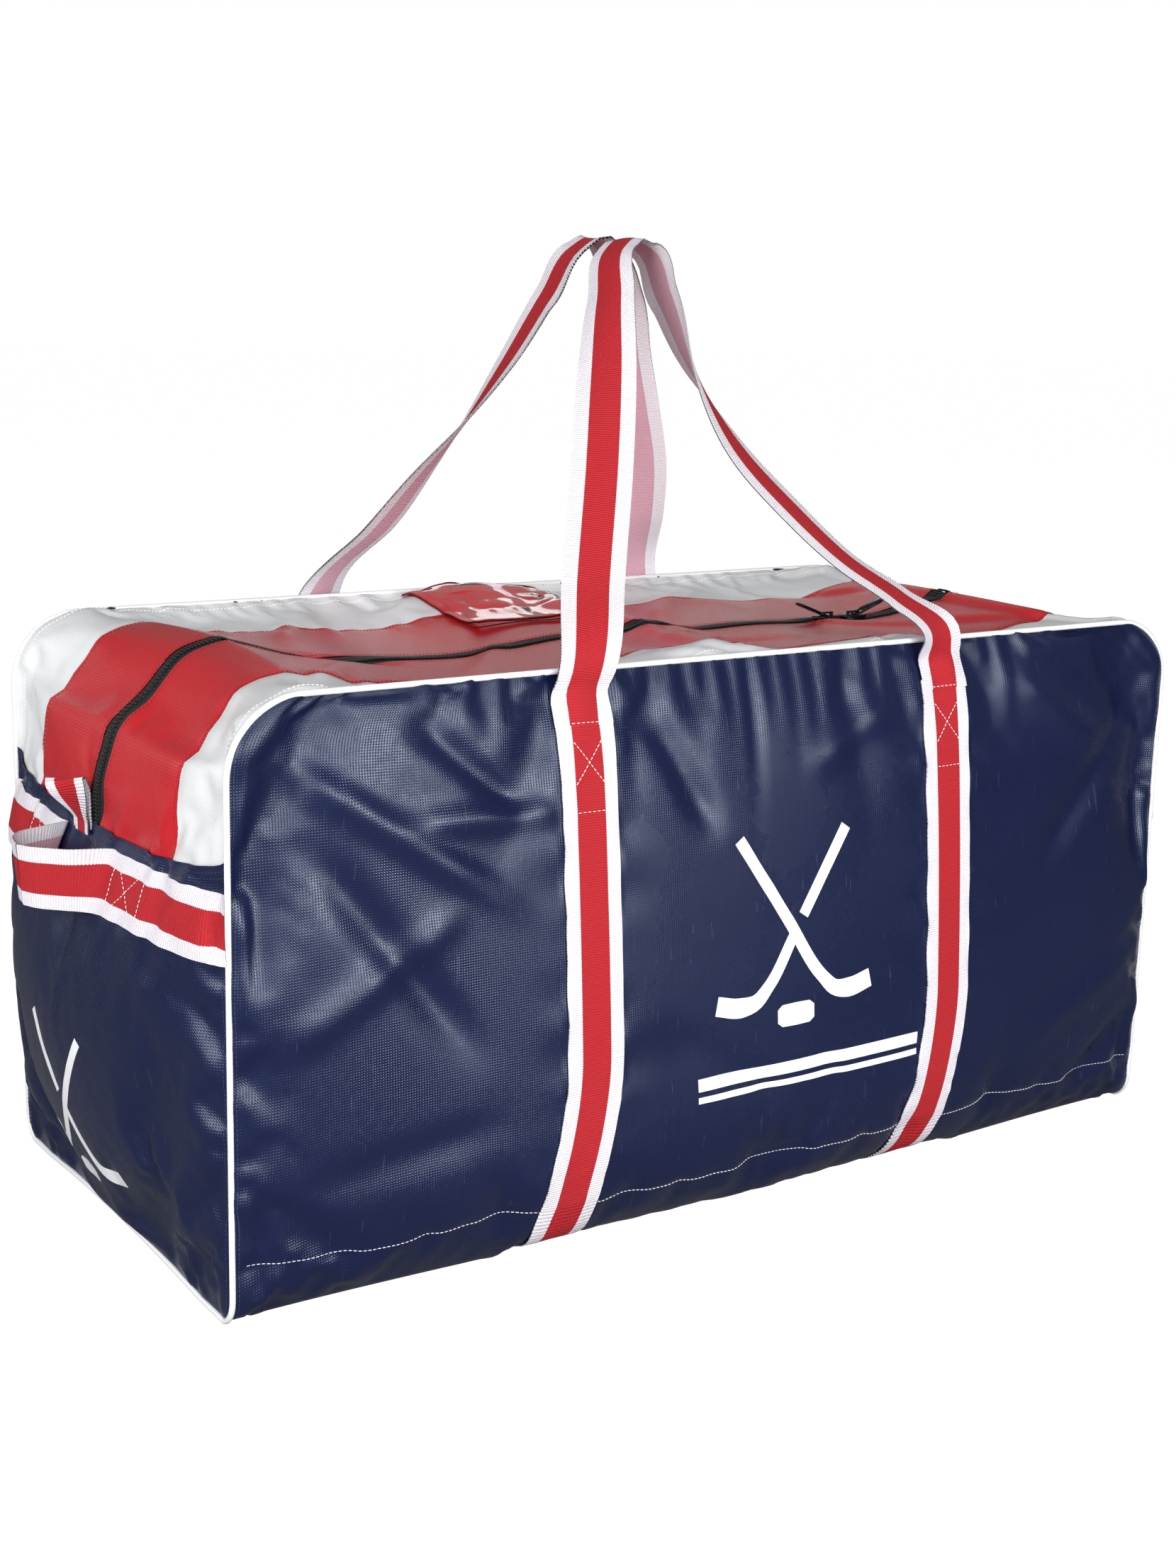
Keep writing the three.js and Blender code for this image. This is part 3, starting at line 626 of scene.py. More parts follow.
def make_handling_marks():
    """Patches that handling has dulled or scuffed, and pale dust in the grain."""
    tree, given, result = shader_group(
        "handling_marks",
        [("Place", "Vector", None), ("Color", "Color", None), ("Roughness", "Float", 0.3),
         ("Amount", "Float", 0.5)],
        [("Color", "Color"), ("Roughness", "Float")])
    cloudy = node(tree, "ShaderNodeTexNoise", {"Vector": given["Place"], "Scale": 7.0, "Detail": 5.0})
    fine = node(tree, "ShaderNodeTexNoise", {"Vector": given["Place"], "Scale": 90.0, "Detail": 4.0})
    stretched = node(tree, "ShaderNodeMapping", {"Vector": given["Place"], "Scale": (260.0, 22.0, 1.0),
                                                 "Rotation": (0.0, 0.0, 0.6)})
    scratch = node(tree, "ShaderNodeTexNoise", {"Vector": stretched.outputs[0], "Scale": 1.0, "Detail": 2.0})
    scuffs = figure(tree, "GREATER_THAN", scratch.outputs[0], 0.70)
    patch = figure(tree, "SUBTRACT", cloudy.outputs[0], 0.5)
    marks = figure(tree, "MULTIPLY", figure(tree, "MULTIPLY", scuffs, fine.outputs[0]), given["Amount"])
    paler = blend_colors(tree, figure(tree, "MULTIPLY", marks, 0.10), given["Color"], (0.5, 0.5, 0.52, 1))
    half_amount = figure(tree, "MULTIPLY", given["Amount"], 0.5)
    tone = figure(tree, "ADD", 1.0, figure(tree, "MULTIPLY", patch, half_amount))
    scaled = node(tree, "ShaderNodeVectorMath", {0: paler}, operation="SCALE")
    tree.links.new(tone, scaled.inputs["Scale"])
    tree.links.new(scaled.outputs[0], result["Color"])
    rough = figure(tree, "ADD", given["Roughness"], figure(tree, "MULTIPLY", patch, figure(
        tree, "MULTIPLY", given["Amount"], 0.35)))
    tree.links.new(figure(tree, "ADD", rough, figure(tree, "MULTIPLY", marks, 0.08)), result["Roughness"])
    return tree


LINEN_EMBOSS = make_linen_emboss()
HANDLING_MARKS = make_handling_marks()


def coated_fabric(name, color, roughness, pitch, relief, marks=0.5, glint=(1, 1, 1)):
    material, shader = new_material(name)
    tree = material.node_tree
    place = node(tree, "ShaderNodeUVMap", uv_map="cloth").outputs[0]
    worn = node(tree, "ShaderNodeGroup", node_tree=HANDLING_MARKS)
    linen = node(tree, "ShaderNodeGroup", node_tree=LINEN_EMBOSS)
    for group in (worn, linen):
        tree.links.new(place, group.inputs["Place"])
    worn.inputs["Color"].default_value = (*color, 1)
    worn.inputs["Roughness"].default_value = roughness
    worn.inputs["Amount"].default_value = marks
    shader.inputs["Specular Tint"].default_value = (*glint, 1)
    linen.inputs["Pitch"].default_value = pitch
    bump = node(tree, "ShaderNodeBump",
                {"Height": linen.outputs["Height"], "Strength": 1.0, "Distance": relief})
    tree.links.new(worn.outputs["Color"], shader.inputs["Base Color"])
    tree.links.new(worn.outputs["Roughness"], shader.inputs["Roughness"])
    tree.links.new(bump.outputs[0], shader.inputs["Normal"])
    return material


def sewn_sheet(name, points, outward, place, lift, thick, materials):
    """A closed sheet: outer face, inner face and edges. place holds each point's spot on the flat cut."""
    lift = np.broadcast_to(lift, points.shape[:2])[..., None]
    outer, inner = points + outward * lift, points + outward * (lift - thick)
    rows, columns = points.shape[:2]
    ids = np.arange(rows * columns).reshape(rows, columns)
    under = ids + rows * columns
    faces = grid_faces(ids) + [face[::-1] for face in grid_faces(under)]
    ring = [*ids[0, :-1], *ids[:-1, -1], *ids[-1, :0:-1], *ids[:0:-1, 0]]
    walls = [(a, b, b + rows * columns, a + rows * columns) for a, b in zip(ring, ring[1:] + ring[:1])]
    mesh = bpy.data.meshes.new(name)
    mesh.from_pydata(np.concatenate([outer, inner]).reshape(-1, 3).tolist(), [], faces + walls)
    spots = np.concatenate([place.reshape(-1, 2)] * 2)
    corners = np.zeros(len(mesh.loops), int)
    mesh.loops.foreach_get("vertex_index", corners)
    layer = mesh.uv_layers.new(name="cloth")
    layer.data.foreach_set("uv", spots[corners].astype(np.float32).ravel())
    mesh.polygons.foreach_set("use_smooth", [True] * len(mesh.polygons))
    for material in materials:
        mesh.materials.append(material)
    if len(materials) > 1:
        half = (rows - 1) * (columns - 1)
        index = [0] * half + [1] * half + [0] * len(walls)
        mesh.polygons.foreach_set("material_index", index)
    normals = np.concatenate([outward.reshape(-1, 3), -outward.reshape(-1, 3)])
    mesh.normals_split_custom_set_from_vertices(normals.tolist())
    piece = bpy.data.objects.new(name, mesh)
    scene.collection.objects.link(piece)
    return piece


def sampled(cloth, rows, columns):
    rows, columns = np.meshgrid(rows, columns, indexing="ij")
    return cloth.at(rows, columns), cloth.outward(rows, columns)


def steps(start, end, pitch):
    count = max(2, int(round(abs(end - start) / pitch)) + 1)
    return np.linspace(start, end, count)


def gusset_flat(rows, columns):
    """Each point's spot on the flat cut of the gusset."""
    wide = columns * 2 * HALF_DEPTH / GUSSET_COLUMNS
    flat_rows, flat_columns = np.meshgrid(rows * ROW_LENGTH, wide, indexing="ij")
    return np.stack([flat_columns, flat_rows], -1)


def at_seam(distance):
    """The cloth's inner face stays on the seam line under the piping."""
    return 0.0010 * smooth(1 - (distance - 0.001) / 0.006)


navy_pvc = coated_fabric("navy_coated_fabric", NAVY, 0.27, 0.0021, 0.00013, glint=(0.80, 0.88, 1.0))
navy_back = coated_fabric("navy_fabric_back", (0.012, 0.018, 0.05), 0.62, 0.0014, 0.0004, 0.3)
rows, columns = steps(0, 2 * HALF_ROWS, 0.5), steps(0, COLUMNS, 0.5)
surface, outward = sampled(wrap, rows, columns)
cut_columns = columns / COLUMNS * 2 * HALF_LENGTH
flat_rows, flat_columns = np.meshgrid(rows * ROW_LENGTH, cut_columns, indexing="ij")
from_seam = np.minimum(flat_rows, 2 * HALF_ROWS * ROW_LENGTH - flat_rows)
from_seam = np.minimum(from_seam, np.minimum(flat_columns, 2 * HALF_LENGTH - flat_columns))
wrap_place = np.stack([flat_columns, flat_rows], -1)
wrap_piece = sewn_sheet("wrap_navy", surface, outward, wrap_place, at_seam(from_seam), FABRIC_THICK,
                        [navy_pvc, navy_back])
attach(wrap_piece, "bag")
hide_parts("front_panel", "back_panel", "base_panel")

# --- End panels ---------------------------------------------------------------------------------
# The same navy fabric, sewn into the piped seams on three sides. The dipping top edge is turned over
# into a hem and lies over the lower ends of the coloured strips.
HEM_WIDTH = 0.0135


for end in ("left", "right"):
    rows = steps(0, HEM_ROW, 0.5)
    columns = steps(0, GUSSET_COLUMNS, 0.5)
    turned = rows if end == "left" else GUSSET_ROWS - rows[::-1]
    surface, outward = sampled(gusset, turned, columns)
    below_hem = (HEM_ROW - np.minimum(turned, GUSSET_ROWS - turned))[:, None] * ROW_LENGTH
    from_side = np.minimum(columns, GUSSET_COLUMNS - columns)[None, :] * 2 * HALF_DEPTH / GUSSET_COLUMNS
    over_strips = 0.0014 * smooth(1 - (below_hem - 0.02) / 0.03)
    hem = 0.0011 * smooth((HEM_WIDTH - below_hem) / 0.002)
    lift = (over_strips + hem) * smooth(from_side / 0.012) + at_seam(from_side)
    panel = sewn_sheet(f"end_panel_{end}_navy", surface, outward, gusset_flat(turned, columns), lift,
                       FABRIC_THICK, [navy_pvc, navy_back])
    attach(panel, "bag")
    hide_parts(f"end_panel_{end}")

# --- Coloured strips over the top and down the ends ---------------------------------------------
# Glossy PVC coated fabric: a white strip along each piped edge and a red strip beside the zip. The
# lower ends are tucked behind the hems.
ZIP_HALF = 0.0120
MOUTH_END = 0.392
TUCK_ROWS = 1.6
red_pvc = coated_fabric("red_coated_fabric", (0.44, 0.009, 0.015), 0.22, 0.0016, 0.00012, 0.4)
white_pvc = coated_fabric("white_coated_fabric", (0.64, 0.655, 0.665), 0.30, 0.0016, 0.00015, 0.4)
red_back = coated_fabric("red_fabric_back", (0.30, 0.02, 0.03), 0.6, 0.0014, 0.0003, 0.3)
white_back = coated_fabric("white_fabric_back", (0.50, 0.51, 0.52), 0.6, 0.0014, 0.0003, 0.3)
MOUTH_ROWS = [float(top_row(x)) for x in (-MOUTH_END, 0.0, MOUTH_END)]
STRETCHES = (
    ("end_left", HEM_ROW - TUCK_ROWS, MOUTH_ROWS[0]),
    ("top_left", MOUTH_ROWS[0], MOUTH_ROWS[1]),
    ("top_right", MOUTH_ROWS[1], MOUTH_ROWS[2]),
    ("end_right", MOUTH_ROWS[2], GUSSET_ROWS - HEM_ROW + TUCK_ROWS),
)
SIDES = {"front": -1, "rear": 1}


def join_gusset(piece, stretch):
    """Ends stay with the bag. Top stretches stay where they are built, without a parent."""
    if stretch.startswith("end"):
        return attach(piece, "bag")
    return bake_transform(piece)


def gusset_strip(name, stretch, start_row, end_row, y_from, y_to, lift, materials, thick=FABRIC_THICK):
    rows = steps(start_row, end_row, 0.5)
    columns = gusset_column(steps(min(y_from, y_to), max(y_from, y_to), 0.0055))
    surface, outward = sampled(gusset, rows, columns)
    place = gusset_flat(rows, columns)
    lift = lift + at_seam(np.minimum(place[..., 0], 2 * HALF_DEPTH - place[..., 0]))
    return sewn_sheet(f"{name}_{stretch}", surface, outward, place, lift, thick, materials)


for face, sign in SIDES.items():
    for stretch, start_row, end_row in STRETCHES:
        kinds = (
            ("red", ZIP_HALF, SEAM_RED_WHITE + 0.001, 0.0007, [red_pvc, red_back]),
            ("white", SEAM_RED_WHITE, HALF_DEPTH - 0.0006, 0.0, [white_pvc, white_back]),
        )
        for kind, near, far, lift, materials in kinds:
            strip = gusset_strip(f"strip_{kind}_{face}", stretch, start_row, end_row, sign * near, sign * far,
                                 lift, materials)
            join_gusset(strip, stretch)
            if stretch == "top_left":
                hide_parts(f"top_{kind}_{face}")
            if stretch.startswith("end"):
                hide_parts(f"end_{kind}_{face}_{stretch[4:]}")

# --- Zip tapes and teeth ------------------------------------------------------------------------
# A chunky nylon coil zip, all black. Each woven tape is sewn under the folded edge of a red strip
# and carries half of the coil along its inner edge.
TAPE_REACH = 0.0175
COIL_PITCH = 0.0027
COIL_REACH = 0.0052
COIL_RADIUS = 0.00092


def make_tape_weave():
    """Fine ribs of a woven tape."""
    tree, given, result = shader_group(
        "tape_weave", [("Place", "Vector", None), ("Pitch", "Float", 0.0008)], [("Height", "Float")])
    split = node(tree, "ShaderNodeSeparateXYZ", {0: given["Place"]})
    ribs = waves(tree, split.outputs[0], given["Pitch"])
    cross = waves(tree, split.outputs[1], given["Pitch"])
    tree.links.new(figure(tree, "ADD", ribs, figure(tree, "MULTIPLY", cross, ribs)), result["Height"])
    return tree


def plain_material(name, color, roughness, metallic=0.0):
    material, shader = new_material(name)
    shader.inputs["Base Color"].default_value = (*color, 1)
    shader.inputs["Roughness"].default_value = roughness
    shader.inputs["Metallic"].default_value = metallic
    return material


def solid_piece(name, points, faces, material):
    """A smooth piece from plain points and faces."""
    mesh = bpy.data.meshes.new(name)
    mesh.from_pydata(np.asarray(points).tolist(), [], faces)
    mesh.polygons.foreach_set("use_smooth", [True] * len(mesh.polygons))
    mesh.materials.append(material)
    piece = bpy.data.objects.new(name, mesh)
    scene.collection.objects.link(piece)
    return piece


def rods(name, starts, ends, radii, material, sides):
    """Many short round ended rods as one piece."""
    starts, ends = np.asarray(starts), np.asarray(ends)
    count = len(starts)
    axis = ends - starts
    length = np.linalg.norm(axis, axis=1, keepdims=True)
    axis = axis / np.maximum(length, 1e-9)
    guide = np.where(np.abs(axis[:, 2:3]) < 0.9, [[0.0, 0.0, 1.0]], [[1.0, 0.0, 0.0]])
    side = np.cross(axis, guide)
    side /= np.linalg.norm(side, axis=1, keepdims=True)
    other = np.cross(axis, side)
    angles = np.arange(sides) * 2 * np.pi / sides
    ring = side[:, None] * np.cos(angles)[None, :, None] + other[:, None] * np.sin(angles)[None, :, None]
    stations = ((0.0, 0.35), (0.12, 0.9), (0.5, 1.0), (0.88, 0.9), (1.0, 0.35))
    rings = [starts[:, None] + axis[:, None] * length[:, None] * s + ring * radii * r for s, r in stations]
    body = np.stack(rings, 1).reshape(count, -1, 3)
    per = len(stations) * sides
    faces = []
    pattern = []
    for level in range(len(stations) - 1):
        for k in range(sides):
            a, b = level * sides + k, level * sides + (k + 1) % sides
            pattern.append((a, a + sides, b + sides, b))
    first, last = tuple(range(sides)), tuple(range(per - 1, per - sides - 1, -1))
    for i in range(count):
        faces += [tuple(i * per + v for v in face) for face in pattern]
        faces += [tuple(i * per + v for v in first), tuple(i * per + v for v in last)]
    return solid_piece(name, body.reshape(-1, 3), faces, material)


def woven_black():
    material, shader = new_material("black_woven_tape")
    tree = material.node_tree
    place = node(tree, "ShaderNodeUVMap", uv_map="cloth").outputs[0]
    weave = node(tree, "ShaderNodeGroup", node_tree=TAPE_WEAVE)
    tree.links.new(place, weave.inputs["Place"])
    bump = node(tree, "ShaderNodeBump", {"Height": weave.outputs[0], "Strength": 0.8, "Distance": 0.0003})
    tree.links.new(bump.outputs[0], shader.inputs["Normal"])
    shader.inputs["Base Color"].default_value = (0.012, 0.012, 0.013, 1)
    shader.inputs["Roughness"].default_value = 0.72
    return material


TAPE_WEAVE = make_tape_weave()
black_tape = woven_black()
coil_black = plain_material("black_nylon_coil", (0.011, 0.011, 0.012), 0.28)
for face, sign in SIDES.items():
    for stretch, start_row, end_row in STRETCHES:
        tape = gusset_strip(f"zip_tape_{face}", stretch, start_row, end_row, sign * 0.0006, sign * TAPE_REACH,
                            -0.0005, [black_tape], 0.0009)
        join_gusset(tape, stretch)
        count = int((end_row - start_row) * ROW_LENGTH / COIL_PITCH)
        stations = start_row + (np.arange(count) + 0.5) * (end_row - start_row) / count
        slant = 0.18 * COIL_PITCH / ROW_LENGTH * sign
        root = gusset.at(stations - slant, gusset_column(np.full(count, sign * COIL_REACH)))
        tip = gusset.at(stations + slant, gusset_column(np.full(count, -sign * 0.0006)))
        up = gusset.outward(stations, gusset_column(np.zeros(count)))
        lifted = up * (COIL_RADIUS + 0.0004)
        coil = rods(f"zip_coil_{face}_{stretch}", root + lifted, tip + lifted, COIL_RADIUS, coil_black, 6)
        join_gusset(coil, stretch)
        if stretch == "top_left":
            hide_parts(f"zip_tape_{face}")
            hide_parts(f"zip_teeth_{face}")
        if stretch.startswith("end") and face == "front":
            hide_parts(f"zip_end_{stretch[4:]}")

# --- Piping -------------------------------------------------------------------------------------
# White PVC over a cord, caught in the seam between wrap and gusset the whole way round each side.
PIPING_SIDES = 10
PIPING_PITCH = 0.0045


def outline_stations():
    """Rows and columns once around the wrap's edge."""
    rows, columns = 2 * HALF_ROWS, COLUMNS
    along = int(columns * COLUMN_LENGTH / PIPING_PITCH)
    down = int(rows * ROW_LENGTH / PIPING_PITCH)
    legs = (
        (np.zeros(along), np.linspace(0, columns, along, endpoint=False)),
        (np.linspace(0, rows, down, endpoint=False), np.full(down, float(columns))),
        (np.full(along, float(rows)), np.linspace(columns, 0, along, endpoint=False)),
        (np.linspace(rows, 0, down, endpoint=False), np.zeros(down)),
    )
    return np.concatenate([leg[0] for leg in legs]), np.concatenate([leg[1] for leg in legs])


def closed_tube(name, centres, radius, material, sides):
    count = len(centres)
    tangent = np.roll(centres, -1, 0) - np.roll(centres, 1, 0)
    tangent /= np.linalg.norm(tangent, axis=1, keepdims=True)
    away = centres - np.array([0, 0, 0.24])
    away -= tangent * np.sum(away * tangent, 1, keepdims=True)
    away /= np.linalg.norm(away, axis=1, keepdims=True)
    side = np.cross(tangent, away)
    angles = np.arange(sides) * 2 * np.pi / sides
    ring = away[:, None] * np.cos(angles)[None, :, None] + side[:, None] * np.sin(angles)[None, :, None]
    points = (centres[:, None] + ring * radius).reshape(-1, 3)
    faces = []
    for i in range(count):
        j = (i + 1) % count
        for k in range(sides):
            m = (k + 1) % sides
            faces.append((i * sides + k, j * sides + k, j * sides + m, i * sides + m))
    return solid_piece(name, points, faces, material)


piping_white = plain_material("white_piping", (0.74, 0.745, 0.75), 0.34)
rows, columns = outline_stations()
centres = wrap.at(rows, columns)
centres = (np.roll(centres, 1, 0) + centres + np.roll(centres, -1, 0)) / 3
outset = centres - np.array([0, 0, 0.24])
outset /= np.linalg.norm(outset, axis=1, keepdims=True)
centres = centres + outset * 0.0003
centres[:, 2] = np.maximum(centres[:, 2], PIPING_RADIUS + 0.0003)
piping = closed_tube("piping_loop", centres, PIPING_RADIUS + 0.0003, piping_white, PIPING_SIDES)
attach(piping, "bag")
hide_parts("piping_front", "piping_rear", "piping_base_left", "piping_base_right")

# --- Webbing straps around the bag --------------------------------------------------------------
# Heavy ribbed polyester webbing, red with a white stripe along each edge. Two lengths run under the
# bag and up both sides, sewn to the wrap, and go on as the carry handles.
WEBBING_THICK = 0.0017
STRAP_TOP = 0.445


def make_striped_webbing():
    """Red webbing with white edges: colour and rib height over the width and along the run."""
    tree, given, result = shader_group(
        "striped_webbing",
        [("Place", "Vector", None), ("Red", "Color", (0.46, 0.013, 0.021, 1)),
         ("White", "Color", (0.82, 0.78, 0.84, 1)), ("Red Half", "Float", 0.0130), ("Rib", "Float", 0.0021)],
        [("Color", "Color"), ("Height", "Float")])
    split = node(tree, "ShaderNodeSeparateXYZ", {0: given["Place"]})
    across, run = split.outputs[0], split.outputs[1]
    ribs = waves(tree, run, given["Rib"])
    fine = waves(tree, across, 0.0011)
    wander = figure(tree, "MULTIPLY", ribs, 0.00018)
    edge = figure(tree, "ADD", figure(tree, "ABSOLUTE", across), wander)
    white = figure(tree, "GREATER_THAN", edge, given["Red Half"])
    nap = node(tree, "ShaderNodeTexNoise", {"Vector": given["Place"], "Scale": 420.0, "Detail": 2.0})
    color = blend_colors(tree, white, given["Red"], given["White"])
    shade = figure(tree, "ADD", 0.80, figure(tree, "MULTIPLY", nap.outputs[0], 0.25))
    # The colour is lighter on the rib crests and darker in the rib hollows: painted shade of the ribs, on top
    # of their bump.
    shade = figure(tree, "ADD", shade, figure(tree, "MULTIPLY", ribs, 0.10))
    # The thin dark line painted where the red meets the white is a painted shadow along the edge of each
    # white stripe.
    seam = figure(tree, "COMPARE", edge, given["Red Half"])
    seam.node.inputs[2].default_value = 0.0003
    shade = figure(tree, "SUBTRACT", shade, figure(tree, "MULTIPLY", seam, 0.25))
    scaled = node(tree, "ShaderNodeVectorMath", {0: color}, operation="SCALE")
    tree.links.new(shade, scaled.inputs["Scale"])
    tree.links.new(scaled.outputs[0], result["Color"])
    rough = figure(tree, "MULTIPLY", figure(tree, "ADD", figure(tree, "MULTIPLY", ribs, fine), ribs), 0.5)
    tree.links.new(rough, result["Height"])
    return tree


STRIPED_WEBBING = make_striped_webbing()


def webbing_material(name, red_half, relief, red=(0.46, 0.013, 0.021)):
    material, shader = new_material(name)
    tree = material.node_tree
    place = node(tree, "ShaderNodeUVMap", uv_map="cloth").outputs[0]
    stripes = node(tree, "ShaderNodeGroup", node_tree=STRIPED_WEBBING)
    tree.links.new(place, stripes.inputs["Place"])
    stripes.inputs["Red Half"].default_value = red_half
    stripes.inputs["Red"].default_value = (*red, 1)
    bump = node(tree, "ShaderNodeBump",
                {"Height": stripes.outputs["Height"], "Strength": 1.0, "Distance": relief})
    tree.links.new(stripes.outputs["Color"], shader.inputs["Base Color"])
    tree.links.new(bump.outputs[0], shader.inputs["Normal"])
    shader.inputs["Roughness"].default_value = 0.62
    shader.inputs["Specular IOR Level"].default_value = 0.3
    return material


webbing = webbing_material("striped_webbing", 0.0128, 0.0004)
# Seen from behind, the red warp is half covered by the pale weft.
webbing_back = webbing_material("striped_webbing_back", 0.0128, 0.0002, (0.66, 0.38, 0.46))


def strap_offsets(width):
    """Places across a webbing, finer at its rounded edges."""
    half = width / 2
    inner_stops = np.linspace(-half + 0.004, half - 0.004, 9)
    return np.array([-half, -half + 0.0006, *inner_stops, half - 0.0006, half])


def edge_drop(offsets, width):
    return -0.0005 * (np.abs(offsets) > width / 2 - 0.0003)


offsets = strap_offsets(WEBBING)
for end, sign in (("left", -1), ("right", 1)):
    top = float(wall_row(np.array(sign * STRAP_X), np.array(STRAP_TOP)))
    rows = steps(top, 2 * HALF_ROWS - top, 0.4)
    drift = strap_drift(wrap.at(rows, wrap_column(sign * STRAP_X))[:, 2])
    columns = wrap_column(sign * STRAP_X - drift[:, None] + offsets)
    surface, outward = wrap.at(rows[:, None], columns), wrap.outward(rows[:, None], columns)
    run = np.broadcast_to((rows * ROW_LENGTH)[:, None], surface.shape[:2])
    place = np.stack([np.broadcast_to(offsets, surface.shape[:2]), run], -1)
    lift = 0.0004 + WEBBING_THICK + edge_drop(offsets, WEBBING)[None, :]
    strap = sewn_sheet(f"girth_strap_{end}_webbing", surface, outward, place, lift, WEBBING_THICK,
                       [webbing, webbing_back])
    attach(strap, "bag")
    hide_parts(f"girth_strap_{end}")

# --- Carry handles ------------------------------------------------------------------------------
# The free ends of the same webbing rise from the straps, turn edge on towards the middle and lie
# flat against each other at the crest, where one hand holds both.
HANDLE_CREST = (-0.014, 0.027, 0.811)
HANDLE_LEGS = {
    "front": (
        ((-0.181, 0.233, 0.490), (-0.152, 0.193, 0.546), (-0.113, 0.143, 0.628), (-0.080, 0.097, 0.702),
         (-0.053, 0.058, 0.762), (-0.030, 0.031, 0.802)),
        ((0.180, 0.234, 0.488), (0.151, 0.213, 0.517), (0.110, 0.189, 0.548), (0.070, 0.162, 0.590),
         (0.034, 0.132, 0.638), (0.012, 0.098, 0.698), (0.006, 0.058, 0.762), (0.001, 0.031, 0.802)),
    ),
    "rear": (
        ((-0.174, 0.228, 0.492), (-0.138, 0.184, 0.547), (-0.108, 0.152, 0.602), (-0.082, 0.126, 0.648),
         (-0.058, 0.096, 0.702), (-0.040, 0.058, 0.762), (-0.028, 0.031, 0.802)),
        ((0.181, 0.229, 0.492), (0.160, 0.192, 0.548), (0.134, 0.155, 0.606), (0.102, 0.124, 0.658),
         (0.068, 0.092, 0.712), (0.034, 0.054, 0.768), (0.002, 0.031, 0.802)),
    ),
}


# How far each leg has turned edge on at a height, in degrees.
HANDLE_TURNS = {
    "front": (((0.47, 0), (0.55, 15), (0.65, 40), (0.74, 68), (0.811, 90)),
              ((0.45, 0), (0.50, 16), (0.56, 27), (0.65, 38), (0.69, 52), (0.73, 70), (0.811, 90))),
    "rear": (((0.45, 0), (0.48, 20), (0.55, 31), (0.60, 44), (0.64, 56), (0.70, 70), (0.811, 90)),
             ((0.47, 0), (0.55, 20), (0.65, 45), (0.74, 70), (0.811, 90))),
}


def face_normals(surface):
    normals = np.cross(np.gradient(surface, axis=0), np.gradient(surface, axis=1))
    return normals / np.linalg.norm(normals, axis=-1, keepdims=True)


def path_through(points, pitch):
    """Evenly spaced stations on a smooth path, with the distance run and the directions."""
    points = np.asarray(points, float)
    marks = np.concatenate([[0], np.cumsum(np.linalg.norm(np.diff(points, axis=0), axis=1))])
    stations = np.linspace(0, marks[-1], int(marks[-1] / pitch) + 1)
    path = np.stack([curve_through(marks, points[:, k], stations) for k in range(3)], -1)
    tangent = np.gradient(path, axis=0)
    tangent /= np.linalg.norm(tangent, axis=1, keepdims=True)
    return path, stations, tangent


def strap_root(x, side, z):
    """Middle of the strap's thickness at a height of one side."""
    row = wall_row(np.array(x), np.array(z))
    row = row if side < 0 else 2 * HALF_ROWS - row
    column = wrap_column(np.array(x))
    return wrap.at(row, column) + wrap.outward(row, column) * (0.0004 + WEBBING_THICK / 2)


for face, side in SIDES.items():
    left, right = (np.array(leg) * (1, side, 1) for leg in HANDLE_LEGS[face])
    roots = [[strap_root(x, side, z) for z in (0.434, 0.4445, 0.458)] for x in (-STRAP_X, STRAP_X)]
    crest = np.array(HANDLE_CREST) * (1, side, 1)
    points = np.concatenate([roots[0], left, [crest], right[::-1], roots[1][::-1]])
    path, run, tangent = path_through(points, 0.006)
    before = np.arange(len(path)) < np.argmin(np.linalg.norm(path - crest, axis=1))
    first, second = (np.radians(np.interp(path[:, 2], *zip(*leg))) for leg in HANDLE_TURNS[face])
    turn = np.where(before, first, np.pi - second)
    turn = np.convolve(np.pad(turn, 6, mode="edge"), np.ones(13) / 13, mode="valid")
    turn = turn + 0.10 * np.sin(run * 21 + side) * smooth((path[:, 2] - 0.47) / 0.06)
    across = np.stack([np.cos(turn), side * np.sin(turn), 0 * turn], -1)
    across -= tangent * np.sum(across * tangent, 1, keepdims=True)
    across /= np.linalg.norm(across, axis=1, keepdims=True)
    cup = 0.0022 * smooth((path[:, 2] - 0.47) / 0.08)
    bend = (offsets[None, :] / (WEBBING / 2)) ** 2 * cup[:, None]
    hollow = np.cross(tangent, across)[:, None] * bend[..., None]
    surface = path[:, None] + across[:, None] * offsets[None, :, None] + hollow
    held = 1 - smooth((surface[..., 2] - 0.455) / 0.024)
    row = wall_row(surface[..., 0], np.minimum(surface[..., 2], 0.480))
    row = row if side < 0 else 2 * HALF_ROWS - row
    column = wrap_column(surface[..., 0])
    onto = wrap.at(row, column) + wrap.outward(row, column) * (0.0008 + WEBBING_THICK / 2)
    surface = surface * (1 - held[..., None]) + onto * held[..., None]
    place = np.stack(np.broadcast_arrays(offsets[None, :], run[:, None]), -1)
    lift = WEBBING_THICK / 2 + edge_drop(offsets, WEBBING)[None, :]
    facing = face_normals(surface)
    faces = [webbing_back, webbing] if face == "front" else [webbing, webbing_back]
    handle = sewn_sheet(f"carry_handle_{face}_webbing", surface, facing, place, lift, WEBBING_THICK, faces)
    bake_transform(handle)
    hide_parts(f"carry_handle_{face}")

# --- End grips ----------------------------------------------------------------------------------
# One length of the same webbing across each end, sewn down from the piping inwards on both sides and
# left as a loose loop in the middle for dragging the bag.
GRIP_HEIGHT = 0.311
GRIP_HALF = 0.050
GRIP_SWELL = {
    "front": ((0.060, 0.0010), (0.050, 0.0070), (0.040, 0.0165), (0.026, 0.0310), (0.012, 0.0440),
              (0.0, 0.0490)),
    "rear": ((0.064, 0.0), (0.051, 0.0045), (0.0475, 0.014), (0.039, 0.032), (0.022, 0.0450), (0.0, 0.0490)),
}


